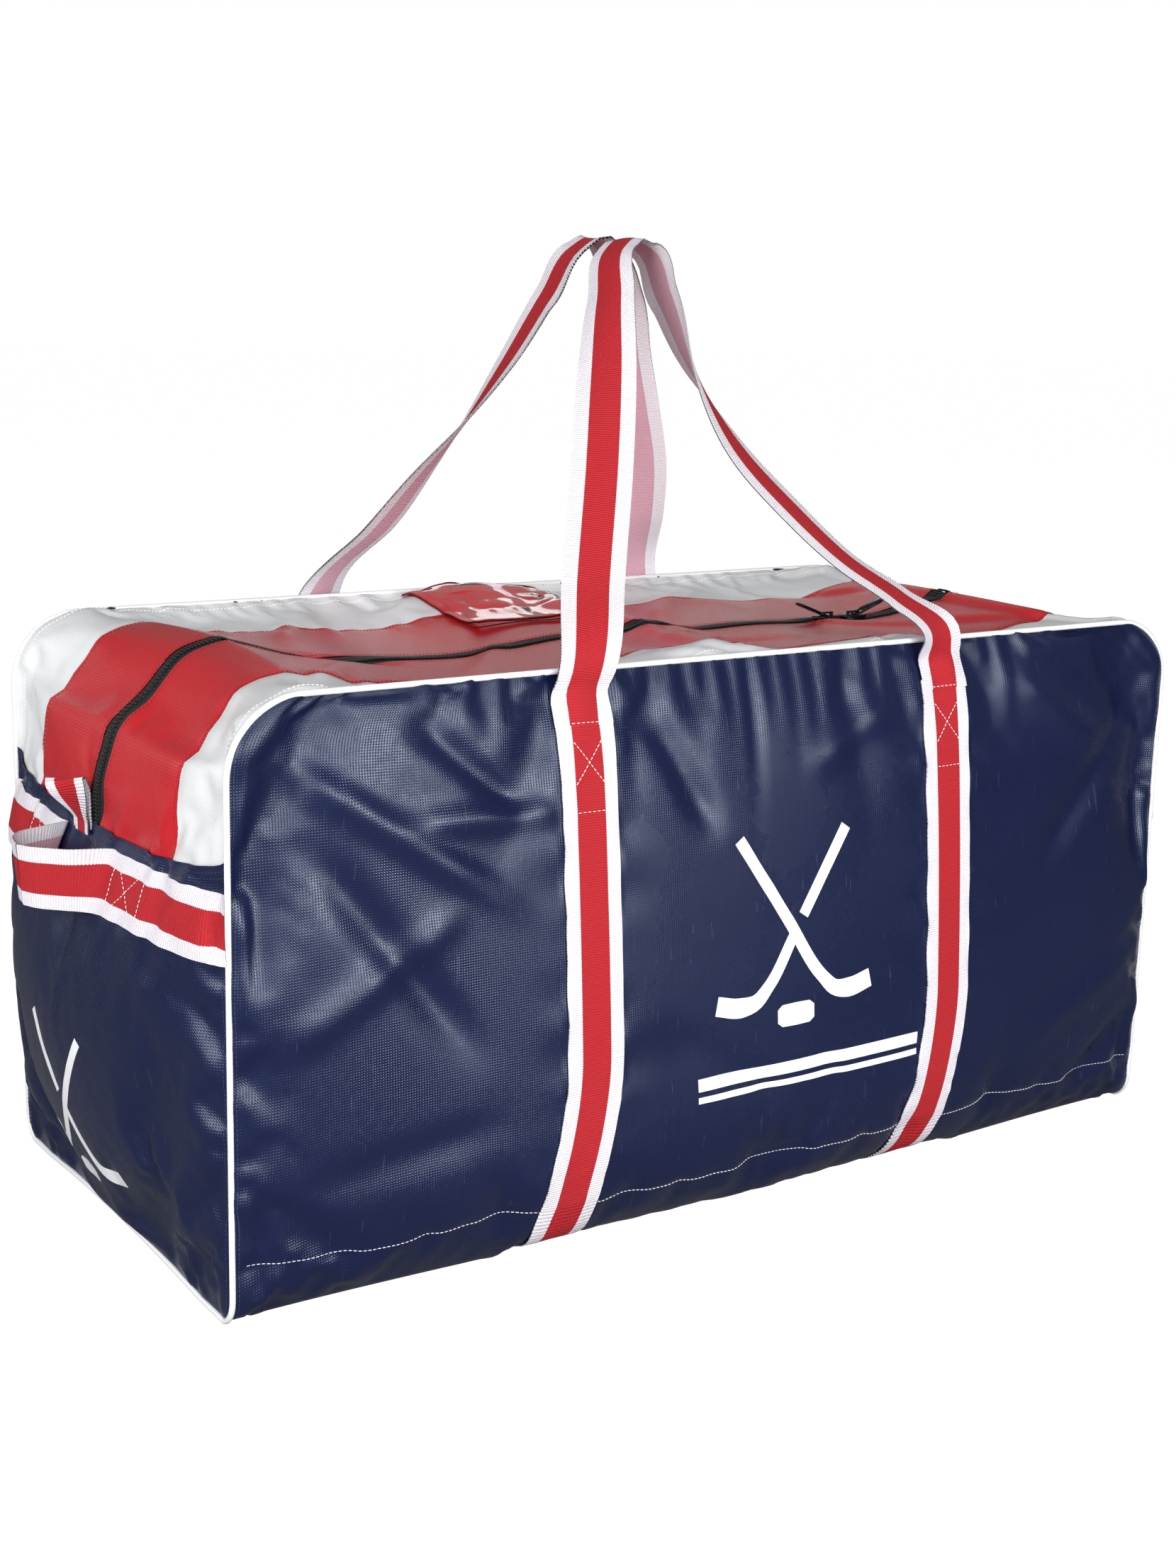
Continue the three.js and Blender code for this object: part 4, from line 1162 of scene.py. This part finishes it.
def end_place(end, y, z):
    """Row and column of the gusset at a spot on one end."""
    column = gusset_column(np.asarray(y, float))
    rows = np.linspace(0, HEM_ROW, 100)
    turned = rows if end == "left" else GUSSET_ROWS - rows
    heights = gusset.at(turned[:, None], np.broadcast_to(column, (1, column.size)))[..., 2]
    wanted = np.broadcast_to(z, column.shape)
    found = [np.interp(wanted.ravel()[k], heights[:, k], turned) for k in range(column.size)]
    return np.array(found).reshape(column.shape), column


def end_surface(end, y, z):
    row, column = end_place(end, y, z)
    return gusset.at(row, column), gusset.outward(row, column)


for end, direction in (("left", -1), ("right", 1)):
    for face, side in SIDES.items():
        flat_y = side * np.linspace(HALF_DEPTH - 0.0005, 0.066, 22)
        middle, away = end_surface(end, flat_y, GRIP_HEIGHT)
        root, root_away = end_surface(end, np.array([side * 0.058]), GRIP_HEIGHT)
        swell = [root[0] + np.array([direction * out, side * y - root[0][1], 0])
                 for y, out in GRIP_SWELL[face]]
        path, run, tangent = path_through(np.concatenate([middle, swell]), 0.0045)
        low = end_surface(end, path[:, 1], GRIP_HEIGHT - 0.02)[0]
        high = end_surface(end, path[:, 1], GRIP_HEIGHT + 0.02)[0]
        leaning = high - low
        leaning[:, 1] = 0
        leaning /= np.linalg.norm(leaning, axis=1, keepdims=True)
        free = smooth((GRIP_HALF + 0.012 - np.abs(path[:, 1])) / 0.03)[:, None]
        across = leaning * (1 - free) + np.array([direction * 0.10, 0, 1]) * free
        across -= tangent * np.sum(across * tangent, 1, keepdims=True)
        across /= np.linalg.norm(across, axis=1, keepdims=True)
        order = offsets if np.cross(tangent[0], across[0])[0] * direction > 0 else -offsets
        surface = path[:, None] + across[:, None] * order[None, :, None]
        onto = end_surface(end, surface[..., 1].ravel(), surface[..., 2].ravel())[0].reshape(surface.shape)
        surface = surface * free[:, None] + onto * (1 - free[:, None])
        place = np.stack(np.broadcast_arrays(order[None, :], run[:, None]), -1)
        lift = 0.0026 + WEBBING_THICK / 2 + edge_drop(order, WEBBING)[None, :]
        facing = face_normals(surface)
        grip = sewn_sheet(f"grip_{face}_{end}_webbing", surface, facing, place, lift, WEBBING_THICK,
                          [webbing, webbing_back])
        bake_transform(grip)
        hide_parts(*([f"grip_strap_{face}_{end}"] + ([f"grip_{end}"] if face == "front" else [])))

# --- Zip end tabs -------------------------------------------------------------------------------
# A short folded loop of narrower webbing in the same stripes, caught under the hem beside each end
# of the zip, for holding while the slider is pulled.
TAB_WIDTH = 0.030
TAB_OFFSET = {"left": 0.018, "right": -0.018}
TAB_TWIST = math.radians(52)
# The loop in profile: distance from its middle plane and height above the hem.
TAB_PROFILE = ((-0.0012, -0.010), (-0.0014, 0.002), (-0.0026, 0.014), (-0.0042, 0.026), (-0.0030, 0.0325),
               (0.0000, 0.0345), (0.0030, 0.0325), (0.0042, 0.026), (0.0026, 0.014), (0.0014, 0.002),
               (0.0012, -0.010))
narrow_webbing = webbing_material("striped_narrow_webbing", 0.0078, 0.0004)
for end, direction in (("left", -1), ("right", 1)):
    hem_row = float(HEM_ROW) if end == "left" else GUSSET_ROWS - float(HEM_ROW)
    hem = gusset.at(hem_row, gusset_column(TAB_OFFSET[end]))
    profile, run, climb = path_through([(0, out, up) for out, up in TAB_PROFILE], 0.0012)
    off, up = profile[:, 1], profile[:, 2]
    twist = TAB_TWIST * smooth((up + 0.002) / 0.034)
    across = np.stack([direction * np.sin(twist), np.cos(twist), 0 * twist], -1)
    away = np.stack([direction * np.cos(twist), -np.sin(twist), 0 * twist], -1)
    path = hem + away * off[:, None]
    path[:, 0] += direction * (0.0042 + 0.42 * np.maximum(up, 0))
    path[:, 2] += up
    tangent = np.gradient(path, axis=0)
    tangent /= np.linalg.norm(tangent, axis=1, keepdims=True)
    across -= tangent * np.sum(across * tangent, 1, keepdims=True)
    across /= np.linalg.norm(across, axis=1, keepdims=True)
    order = strap_offsets(TAB_WIDTH)
    surface = path[:, None] + across[:, None] * order[None, :, None]
    outward = np.cross(tangent, across)
    place = np.stack(np.broadcast_arrays(order[None, :], run[:, None]), -1)
    lift = 0.0007 + edge_drop(order, TAB_WIDTH)[None, :]
    facing = np.broadcast_to(outward[:, None], surface.shape)
    tab = sewn_sheet(f"zip_tab_{end}_loop", surface, facing, place, lift, 0.0014, [narrow_webbing])
    root = Vector((0, 0, float(hem[2]) - 0.003))
    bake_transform(tab)
    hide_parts(f"zip_tab_{end}")

# --- Zip sliders and pulls ----------------------------------------------------------------------
# Two black lacquered cast sliders nose to nose, each with a long flat pull hinged in its crown.
SLIDER_PLACES = {"a": (0.250, -1), "b": (0.284, 1)}
PULL_LENGTH = 0.036
PULL_RISE = math.radians(21)
black_lacquer = plain_material("black_lacquer", (0.012, 0.012, 0.013), 0.26, 0.6)


def beveled(name, prisms, bevel, material):
    """Prisms given as (outline, low, high, matrix), joined in one piece with softened edges."""
    mesh = bpy.data.meshes.new(name)
    solid = bmesh.new()
    for outline, low, high, place in prisms:
        bottom = [solid.verts.new(place @ Vector((x, y, low))) for x, y in outline]
        top = [solid.verts.new(place @ Vector((x, y, high))) for x, y in outline]
        solid.faces.new(bottom[::-1])
        solid.faces.new(top)
        for k in range(len(outline)):
            following = (k + 1) % len(outline)
            solid.faces.new((bottom[k], bottom[following], top[following], top[k]))
    bmesh.ops.recalc_face_normals(solid, faces=solid.faces)
    bmesh.ops.bevel(solid, geom=solid.edges, offset=bevel, segments=2, affect="EDGES", clamp_overlap=True)
    solid.to_mesh(mesh)
    solid.free()
    mesh.polygons.foreach_set("use_smooth", [True] * len(mesh.polygons))
    mesh.materials.append(material)
    piece = bpy.data.objects.new(name, mesh)
    scene.collection.objects.link(piece)
    return piece


def oblong(x_from, x_to, half, corner):
    return ((x_from + corner, -half), (x_to - corner, -half), (x_to, -half + corner), (x_to, half - corner),
            (x_to - corner, half), (x_from + corner, half), (x_from, half - corner), (x_from, -half + corner))


for letter, (x, away) in SLIDER_PLACES.items():
    seat = gusset.at(top_row(x), gusset_column(0.0))
    place = Matrix.Translation((x, 0, seat[2])) @ Matrix.Diagonal((away, 1, 1, 1))
    # Wide shoulders where the two halves of the coil part, narrow where they leave together.
    shell = ((-0.0145, -0.0068), (-0.006, -0.0072), (0.004, -0.0062), (0.0135, -0.0050),
             (0.0135, 0.0050), (0.004, 0.0062), (-0.006, 0.0072), (-0.0145, 0.0068))
    flanges = [
        (((-0.0135, s * 0.0056), (0.0125, s * 0.0038), (0.0125, s * 0.0050), (-0.0135, s * 0.0068)),
         0.0006, 0.0034, place) for s in (-1, 1)]
    crown = [
        (oblong(-0.0075, -0.0050, 0.0017, 0.0004), 0.0044, 0.0078, place),
        (oblong(0.0045, 0.0070, 0.0017, 0.0004), 0.0044, 0.0078, place),
        (oblong(-0.0075, 0.0070, 0.0017, 0.0004), 0.0072, 0.0088, place),
    ]
    body = beveled(f"slider_{letter}_cast", [(shell, 0.0030, 0.0048, place), (shell, -0.0030, -0.0016, place),
                                             *flanges, *crown], 0.00035, black_lacquer)
    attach(body, f"slider_{letter}")
    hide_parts(f"slider_{letter}")
    hinge = Matrix.Translation((x + away * 0.003, 0, seat[2] + 0.0058)) @ Matrix.Diagonal((away, 1, 1, 1))
    tilt = hinge @ Matrix.Rotation(-PULL_RISE, 4, "Y")
    start, ring_end = -0.0016, 0.0090
    pull = beveled(f"pull_{letter}_tab", [
        (oblong(start, start + 0.0022, 0.0052, 0.0008), -0.0009, 0.0009, tilt),
        (((start, -0.0052), (ring_end, -0.0052), (ring_end, -0.0030), (start, -0.0030)),
         -0.0009, 0.0009, tilt),
        (((start, 0.0030), (ring_end, 0.0030), (ring_end, 0.0052), (start, 0.0052)),
         -0.0009, 0.0009, tilt),
        (((ring_end, -0.0052), (PULL_LENGTH - 0.006, -0.0056), (PULL_LENGTH - 0.001, -0.0042),
          (PULL_LENGTH, 0), (PULL_LENGTH - 0.001, 0.0042), (PULL_LENGTH - 0.006, 0.0056),
          (ring_end, 0.0052)), -0.0011, 0.0011, tilt),
    ], 0.0004, black_lacquer)
    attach(pull, f"pull_{letter}")
    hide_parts(f"slider_pull_{letter}")

# --- Name card window ---------------------------------------------------------------------------
# A red pocket on the rear half of the top under a sheet of clear glossy vinyl, bound on three sides
# with red vinyl tape. The front edge of the sheet is left open, and its bound lip stands up a little.
WINDOW_LEFT, WINDOW_RIGHT = -0.095, 0.055
WINDOW_NEAR, WINDOW_FAR = 0.078, 0.208
WINDOW_BINDING = 0.008
BACKING_LIFT = 0.0014


def make_clear_vinyl():
    material, shader = new_material("clear_vinyl")
    tree = material.node_tree
    shader.inputs["Base Color"].default_value = (0.97, 0.97, 0.97, 1)
    shader.inputs["Roughness"].default_value = 0.05
    shader.inputs["IOR"].default_value = 1.5
    shader.inputs["Transmission Weight"].default_value = 1.0
    path = node(tree, "ShaderNodeLightPath")
    through = node(tree, "ShaderNodeBsdfTransparent", {"Color": (0.96, 0.95, 0.95, 1)})
    mixed = node(tree, "ShaderNodeMixShader", {0: path.outputs["Is Shadow Ray"], 1: shader.outputs[0],
                                               2: through.outputs[0]})
    output = next(n for n in tree.nodes if n.type == "OUTPUT_MATERIAL")
    tree.links.new(mixed.outputs[0], output.inputs["Surface"])
    return material


def window_patch(name, half, x_from, x_to, y_from, y_to, lift, thick, material, pitch=0.004):
    rows = top_row(steps(x_from, x_to, pitch))
    columns = gusset_column(steps(y_from, y_to, pitch))
    surface, outward = sampled(gusset, rows, columns)
    heights = lift(surface[..., 0], surface[..., 1])
    piece = sewn_sheet(name, surface, outward, gusset_flat(rows, columns), heights, thick, [material])
    join_gusset(piece, half)
    return piece


def window_lift(x, y):
    lip = 0.0050 * np.exp(-(((y - WINDOW_NEAR) / 0.013) ** 2)) * (0.65 + 0.35 * np.sin(x * 55 + 0.6))
    waves = np.sin(y * 210 + x * 19) + 0.6 * np.sin(y * 330 - x * 47 + 1.3) + 0.5 * np.sin(x * 88 + y * 60)
    bound = (smooth((x - WINDOW_LEFT) / 0.02) * smooth((WINDOW_RIGHT - x) / 0.02)
             * smooth((WINDOW_FAR - y) / 0.02))
    return 0.0030 + lip + 0.0008 * waves * bound


def backing_lift(x, _):
    return np.full(x.shape, BACKING_LIFT)


def binding_lift(x, y):
    return window_lift(x, y) + 0.0010


clear_vinyl = make_clear_vinyl()
red_tape = coated_fabric("red_binding_tape", (0.50, 0.008, 0.014), 0.28, 0.0016, 0.0001, 0.3)
WINDOW_HALVES = (("top_left", WINDOW_LEFT, 0.0), ("top_right", 0.0, WINDOW_RIGHT))
for half, x_from, x_to in WINDOW_HALVES:
    backing = window_patch(f"window_backing_{half}", half, x_from, x_to, WINDOW_NEAR + 0.006, WINDOW_FAR,
                           backing_lift, 0.0006, red_pvc)
    sheet = window_patch(f"window_vinyl_{half}", half, x_from, x_to, WINDOW_NEAR, WINDOW_FAR,
                         window_lift, 0.0005, clear_vinyl, 0.003)
    near = window_patch(f"window_lip_{half}", half, x_from, x_to, WINDOW_NEAR - 0.001, WINDOW_NEAR + 0.006,
                        binding_lift, 0.0024, red_tape, 0.003)
    far = window_patch(f"window_far_binding_{half}", half, x_from, x_to, WINDOW_FAR - WINDOW_BINDING,
                       WINDOW_FAR, binding_lift, 0.0020, red_tape, 0.003)
    outer = x_from if half == "top_left" else x_to - WINDOW_BINDING
    side = window_patch(f"window_side_binding_{half}", half, outer, outer + WINDOW_BINDING,
                        WINDOW_NEAR - 0.001, WINDOW_FAR, binding_lift, 0.0020, red_tape, 0.003)
    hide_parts("window_edge_left" if half == "top_left" else "window_edge_right")
    if half == "top_left":
        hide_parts("window_sheet")
        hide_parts("window_edge_near")
        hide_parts("window_edge_far")

# --- Base board ---------------------------------------------------------------------------------
# A loose stiffened pad in black cloth that lies in the bottom of the bag.
FLOOR_FROM = CORNER_ROWS + WALL_ROWS + ROLL_ROWS + 1
rows, columns = steps(FLOOR_FROM, 2 * HALF_ROWS - FLOOR_FROM, 1), steps(4, COLUMNS - 4, 1)
surface, outward = sampled(wrap, rows, columns)
flat_rows, flat_columns = np.meshgrid(rows * ROW_LENGTH, columns * COLUMN_LENGTH, indexing="ij")
board = sewn_sheet("base_board", surface, outward, np.stack([flat_columns, flat_rows], -1), -0.0050, 0.0028,
                   [black_tape])
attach(board, "bag")
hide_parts("base_liner")

# --- Stitching ----------------------------------------------------------------------------------
# Lockstitch in thick polyester thread: navy along the piping and the hems, white along the base fold,
# red and white on the strips, and white boxed crosses where the webbing is sewn down.
STITCH_PITCH = 0.0038
STITCH_LENGTH = 0.0027
THREAD_RADIUS = 0.00032
THREAD_ROUGHNESS = 0.45
# Half width of a boxed cross, and its stations along the webbing.
CROSS_HALF = 0.0128
STRAP_CROSS = (0.4385, 0.425, 0.392, 0.371)
GRIP_CROSS = (0.066, 0.078, 0.104, 0.118)


def stitch_ends(points, outward):
    """Even stitches along a line on the cloth."""
    marks = np.concatenate([[0], np.cumsum(np.linalg.norm(np.diff(points, axis=0), axis=1))])
    count = max(1, int(marks[-1] / STITCH_PITCH))
    begin = (np.arange(count) + 0.15) * marks[-1] / count
    lifted = points + outward * 0.00018

    def at(places):
        return np.stack([np.interp(places, marks, lifted[:, k]) for k in range(3)], -1)

    return at(begin), at(begin + STITCH_LENGTH)


def stitching(name, lines, material):
    ends = [stitch_ends(points, outward) for points, outward in lines]
    starts = np.concatenate([pair[0] for pair in ends])
    stops = np.concatenate([pair[1] for pair in ends])
    return rods(name, starts, stops, THREAD_RADIUS, material, 5)


def line_on(cloth, rows, columns, lift=0.0):
    rows, columns = np.broadcast_arrays(np.asarray(rows, float), np.asarray(columns, float))
    outward = cloth.outward(rows, columns)
    return cloth.at(rows, columns) + outward * lift, outward


navy_thread = plain_material("navy_thread", (0.022, 0.035, 0.095), THREAD_ROUGHNESS)
red_thread = plain_material("red_thread", (0.42, 0.012, 0.02), THREAD_ROUGHNESS)
white_thread = plain_material("white_thread", (0.82, 0.81, 0.82), THREAD_ROUGHNESS)
inset = 0.42
around = np.arange(inset, 2 * HALF_ROWS - inset, 0.4)
lengthwise = np.arange(inset, COLUMNS - inset, 0.4)
reach = np.linspace(-0.468, 0.468, 240)
fold_row = wall_row(reach, np.full(reach.shape, BASE_FOLD))
wrap_lines = [
    line_on(wrap, around, inset),
    line_on(wrap, around, COLUMNS - inset),
    line_on(wrap, inset, lengthwise),
    line_on(wrap, 2 * HALF_ROWS - inset, lengthwise),
]
piece = stitching("wrap_stitches", wrap_lines, navy_thread)
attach(piece, "bag")
base_lines = [line_on(wrap, row, wrap_column(reach)) for row in (fold_row, 2 * HALF_ROWS - fold_row)]
piece = stitching("base_stitches", base_lines, white_thread)
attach(piece, "bag")
end_lines = []
for end in ("left", "right"):
    up = np.arange(1, HEM_ROW - 0.4, 0.4)
    turned = up if end == "left" else GUSSET_ROWS - up
    for column in (0.42, GUSSET_COLUMNS - 0.42):
        end_lines.append(line_on(gusset, turned, column, 0.0002))
    for below in (0.45, 1.0):
        row = HEM_ROW - below if end == "left" else GUSSET_ROWS - HEM_ROW + below
        end_lines.append(line_on(gusset, row, np.arange(0.6, GUSSET_COLUMNS - 0.6, 0.3), 0.0025))
piece = stitching("end_panel_stitches", end_lines, navy_thread)
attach(piece, "bag")
for face, sign in SIDES.items():
    for stretch, start_row, end_row in STRETCHES:
        rows = np.arange(start_row, end_row, 0.4)
        rows = np.append(rows, end_row)
        white_lines = [line_on(gusset, rows, gusset_column(sign * (HALF_DEPTH - 0.0105)))]
        red_lines = [line_on(gusset, rows, gusset_column(sign * (SEAM_RED_WHITE - 0.0025)), 0.0008),
                     line_on(gusset, rows, gusset_column(sign * (ZIP_HALF + 0.0035)), 0.0011)]
        white_seams = stitching(f"white_strip_stitches_{face}_{stretch}", white_lines, white_thread)
        join_gusset(white_seams, stretch)
        red_seams = stitching(f"red_strip_stitches_{face}_{stretch}", red_lines, red_thread)
        join_gusset(red_seams, stretch)


def cross_lines(spot, across_half, levels):
    """A boxed cross on webbing: two lines across it and a cross between them."""
    top, cross_top, cross_bottom, bottom = levels
    strokes = (
        ((-across_half, top), (across_half, top)),
        ((-across_half, bottom), (across_half, bottom)),
        ((-across_half, cross_top), (across_half, cross_bottom)),
        ((across_half, cross_top), (-across_half, cross_bottom)),
    )
    return [spot(np.linspace(a[0], b[0], 14), np.linspace(a[1], b[1], 14)) for a, b in strokes]


cross_pieces = []
for x in (-STRAP_X, STRAP_X):
    for side in (-1, 1):
        def on_strap(across, z):
            row = wall_row(x + across, z)
            row = row if side < 0 else 2 * HALF_ROWS - row
            return line_on(wrap, row, wrap_column(x + across), WEBBING_THICK + 0.0010)

        cross_pieces += cross_lines(on_strap, CROSS_HALF, STRAP_CROSS)
for end in ("left", "right"):
    for side in (-1, 1):
        def on_grip(across, along):
            row, column = end_place(end, side * along, GRIP_HEIGHT + across)
            return line_on(gusset, row, column, WEBBING_THICK / 2 + 0.0031)

        cross_pieces += cross_lines(on_grip, CROSS_HALF, GRIP_CROSS)
piece = stitching("boxed_cross_stitches", cross_pieces, white_thread)
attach(piece, "bag")

# --- Printed marks ------------------------------------------------------------------------------
# White screen print on the navy: crossed sticks with a puck on the front and ends, and two plain
# stripes low on the front.
PRINT_LIFT = 0.00035
EMBLEM_CENTRE, EMBLEM_RADIUS = (0.012, 0.258), 0.080
END_EMBLEM_CENTRE, END_EMBLEM_RADIUS = (0.0, 0.120), 0.068
# Strokes as centre lines and half widths, in emblem radii.
STICK = (((-0.70, 0.93), 0.065), ((-0.10, 0.05), 0.065), ((0.36, -0.62), 0.070), ((0.52, -0.76), 0.085),
         ((0.72, -0.79), 0.105), ((1.02, -0.73), 0.100))
STICK_TOP = (((0.70, 0.93), 0.065), ((0.45, 0.565), 0.065), ((0.11, 0.066), 0.065))
STICK_FOOT = (((-0.015, -0.12), 0.065), ((-0.36, -0.62), 0.070), ((-0.52, -0.76), 0.085),
              ((-0.72, -0.79), 0.105), ((-1.02, -0.73), 0.100))
PUCK = (((-0.24, -0.96), 0.07), ((-0.20, -0.96), 0.115), ((0.0, -0.96), 0.12), ((0.20, -0.96), 0.115),
        ((0.24, -0.96), 0.07))
white_print = plain_material("white_print", (0.78, 0.785, 0.80), 0.38)


def printed_stroke(name, stroke, centre, scale, spot):
    centres = np.array([place for place, _ in stroke], float)
    widths = np.array([half for _, half in stroke], float)
    marks = np.concatenate([[0], np.cumsum(np.linalg.norm(np.diff(centres, axis=0), axis=1))])
    stations = np.linspace(0, marks[-1], max(6, int(marks[-1] * scale / 0.004)))
    path = np.stack([np.interp(stations, marks, centres[:, k]) for k in range(2)], -1)
    softened = np.stack([curve_through(marks, centres[:, k], stations) for k in range(2)], -1)
    path = softened if len(stroke) > 3 else path
    half = np.interp(stations, marks, widths)
    tangent = np.gradient(path, axis=0)
    tangent /= np.linalg.norm(tangent, axis=1, keepdims=True)
    sideways = np.stack([-tangent[:, 1], tangent[:, 0]], -1)
    spread = np.linspace(-1, 1, 5)
    flat = path[:, None] + sideways[:, None] * (half[:, None] * spread)[..., None]
    flat = flat * scale + np.array(centre)
    surface, outward = spot(flat[..., 0], flat[..., 1])
    facing = np.cross(surface[1, 2] - surface[0, 2], surface[0, 3] - surface[0, 2])
    if facing @ outward[0, 2] < 0:
        surface, outward, flat = surface[:, ::-1], outward[:, ::-1], flat[:, ::-1]
    piece = sewn_sheet(name, surface, outward, flat, PRINT_LIFT, PRINT_LIFT, [white_print])
    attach(piece, "bag")


def front_spot(x, z):
    row, column = wall_row(x, z), wrap_column(x)
    return wrap.at(row, column), wrap.outward(row, column)


for index, stroke in enumerate((STICK, STICK_TOP, STICK_FOOT, PUCK)):
    printed_stroke(f"front_emblem_{index}", stroke, EMBLEM_CENTRE, EMBLEM_RADIUS, front_spot)
    for end in ("left", "right"):
        def end_spot(y, z):
            surface, outward = end_surface(end, y.ravel(), z.ravel())
            return surface.reshape(*y.shape, 3), outward.reshape(*y.shape, 3)

        printed_stroke(f"{end}_emblem_{index}", stroke, END_EMBLEM_CENTRE, END_EMBLEM_RADIUS, end_spot)
for index, (z, half) in enumerate(((0.1365, 0.0052), (0.1240, 0.0026))):
    stripe = (((-0.088, z), half), ((0.0, z), half), ((0.150, z), half))
    printed_stroke(f"front_stripe_{index}", stroke=stripe, centre=(0, 0), scale=1.0, spot=front_spot)

# --- Update of the view layer -------------------------------------------------------------------
bpy.context.view_layer.update()
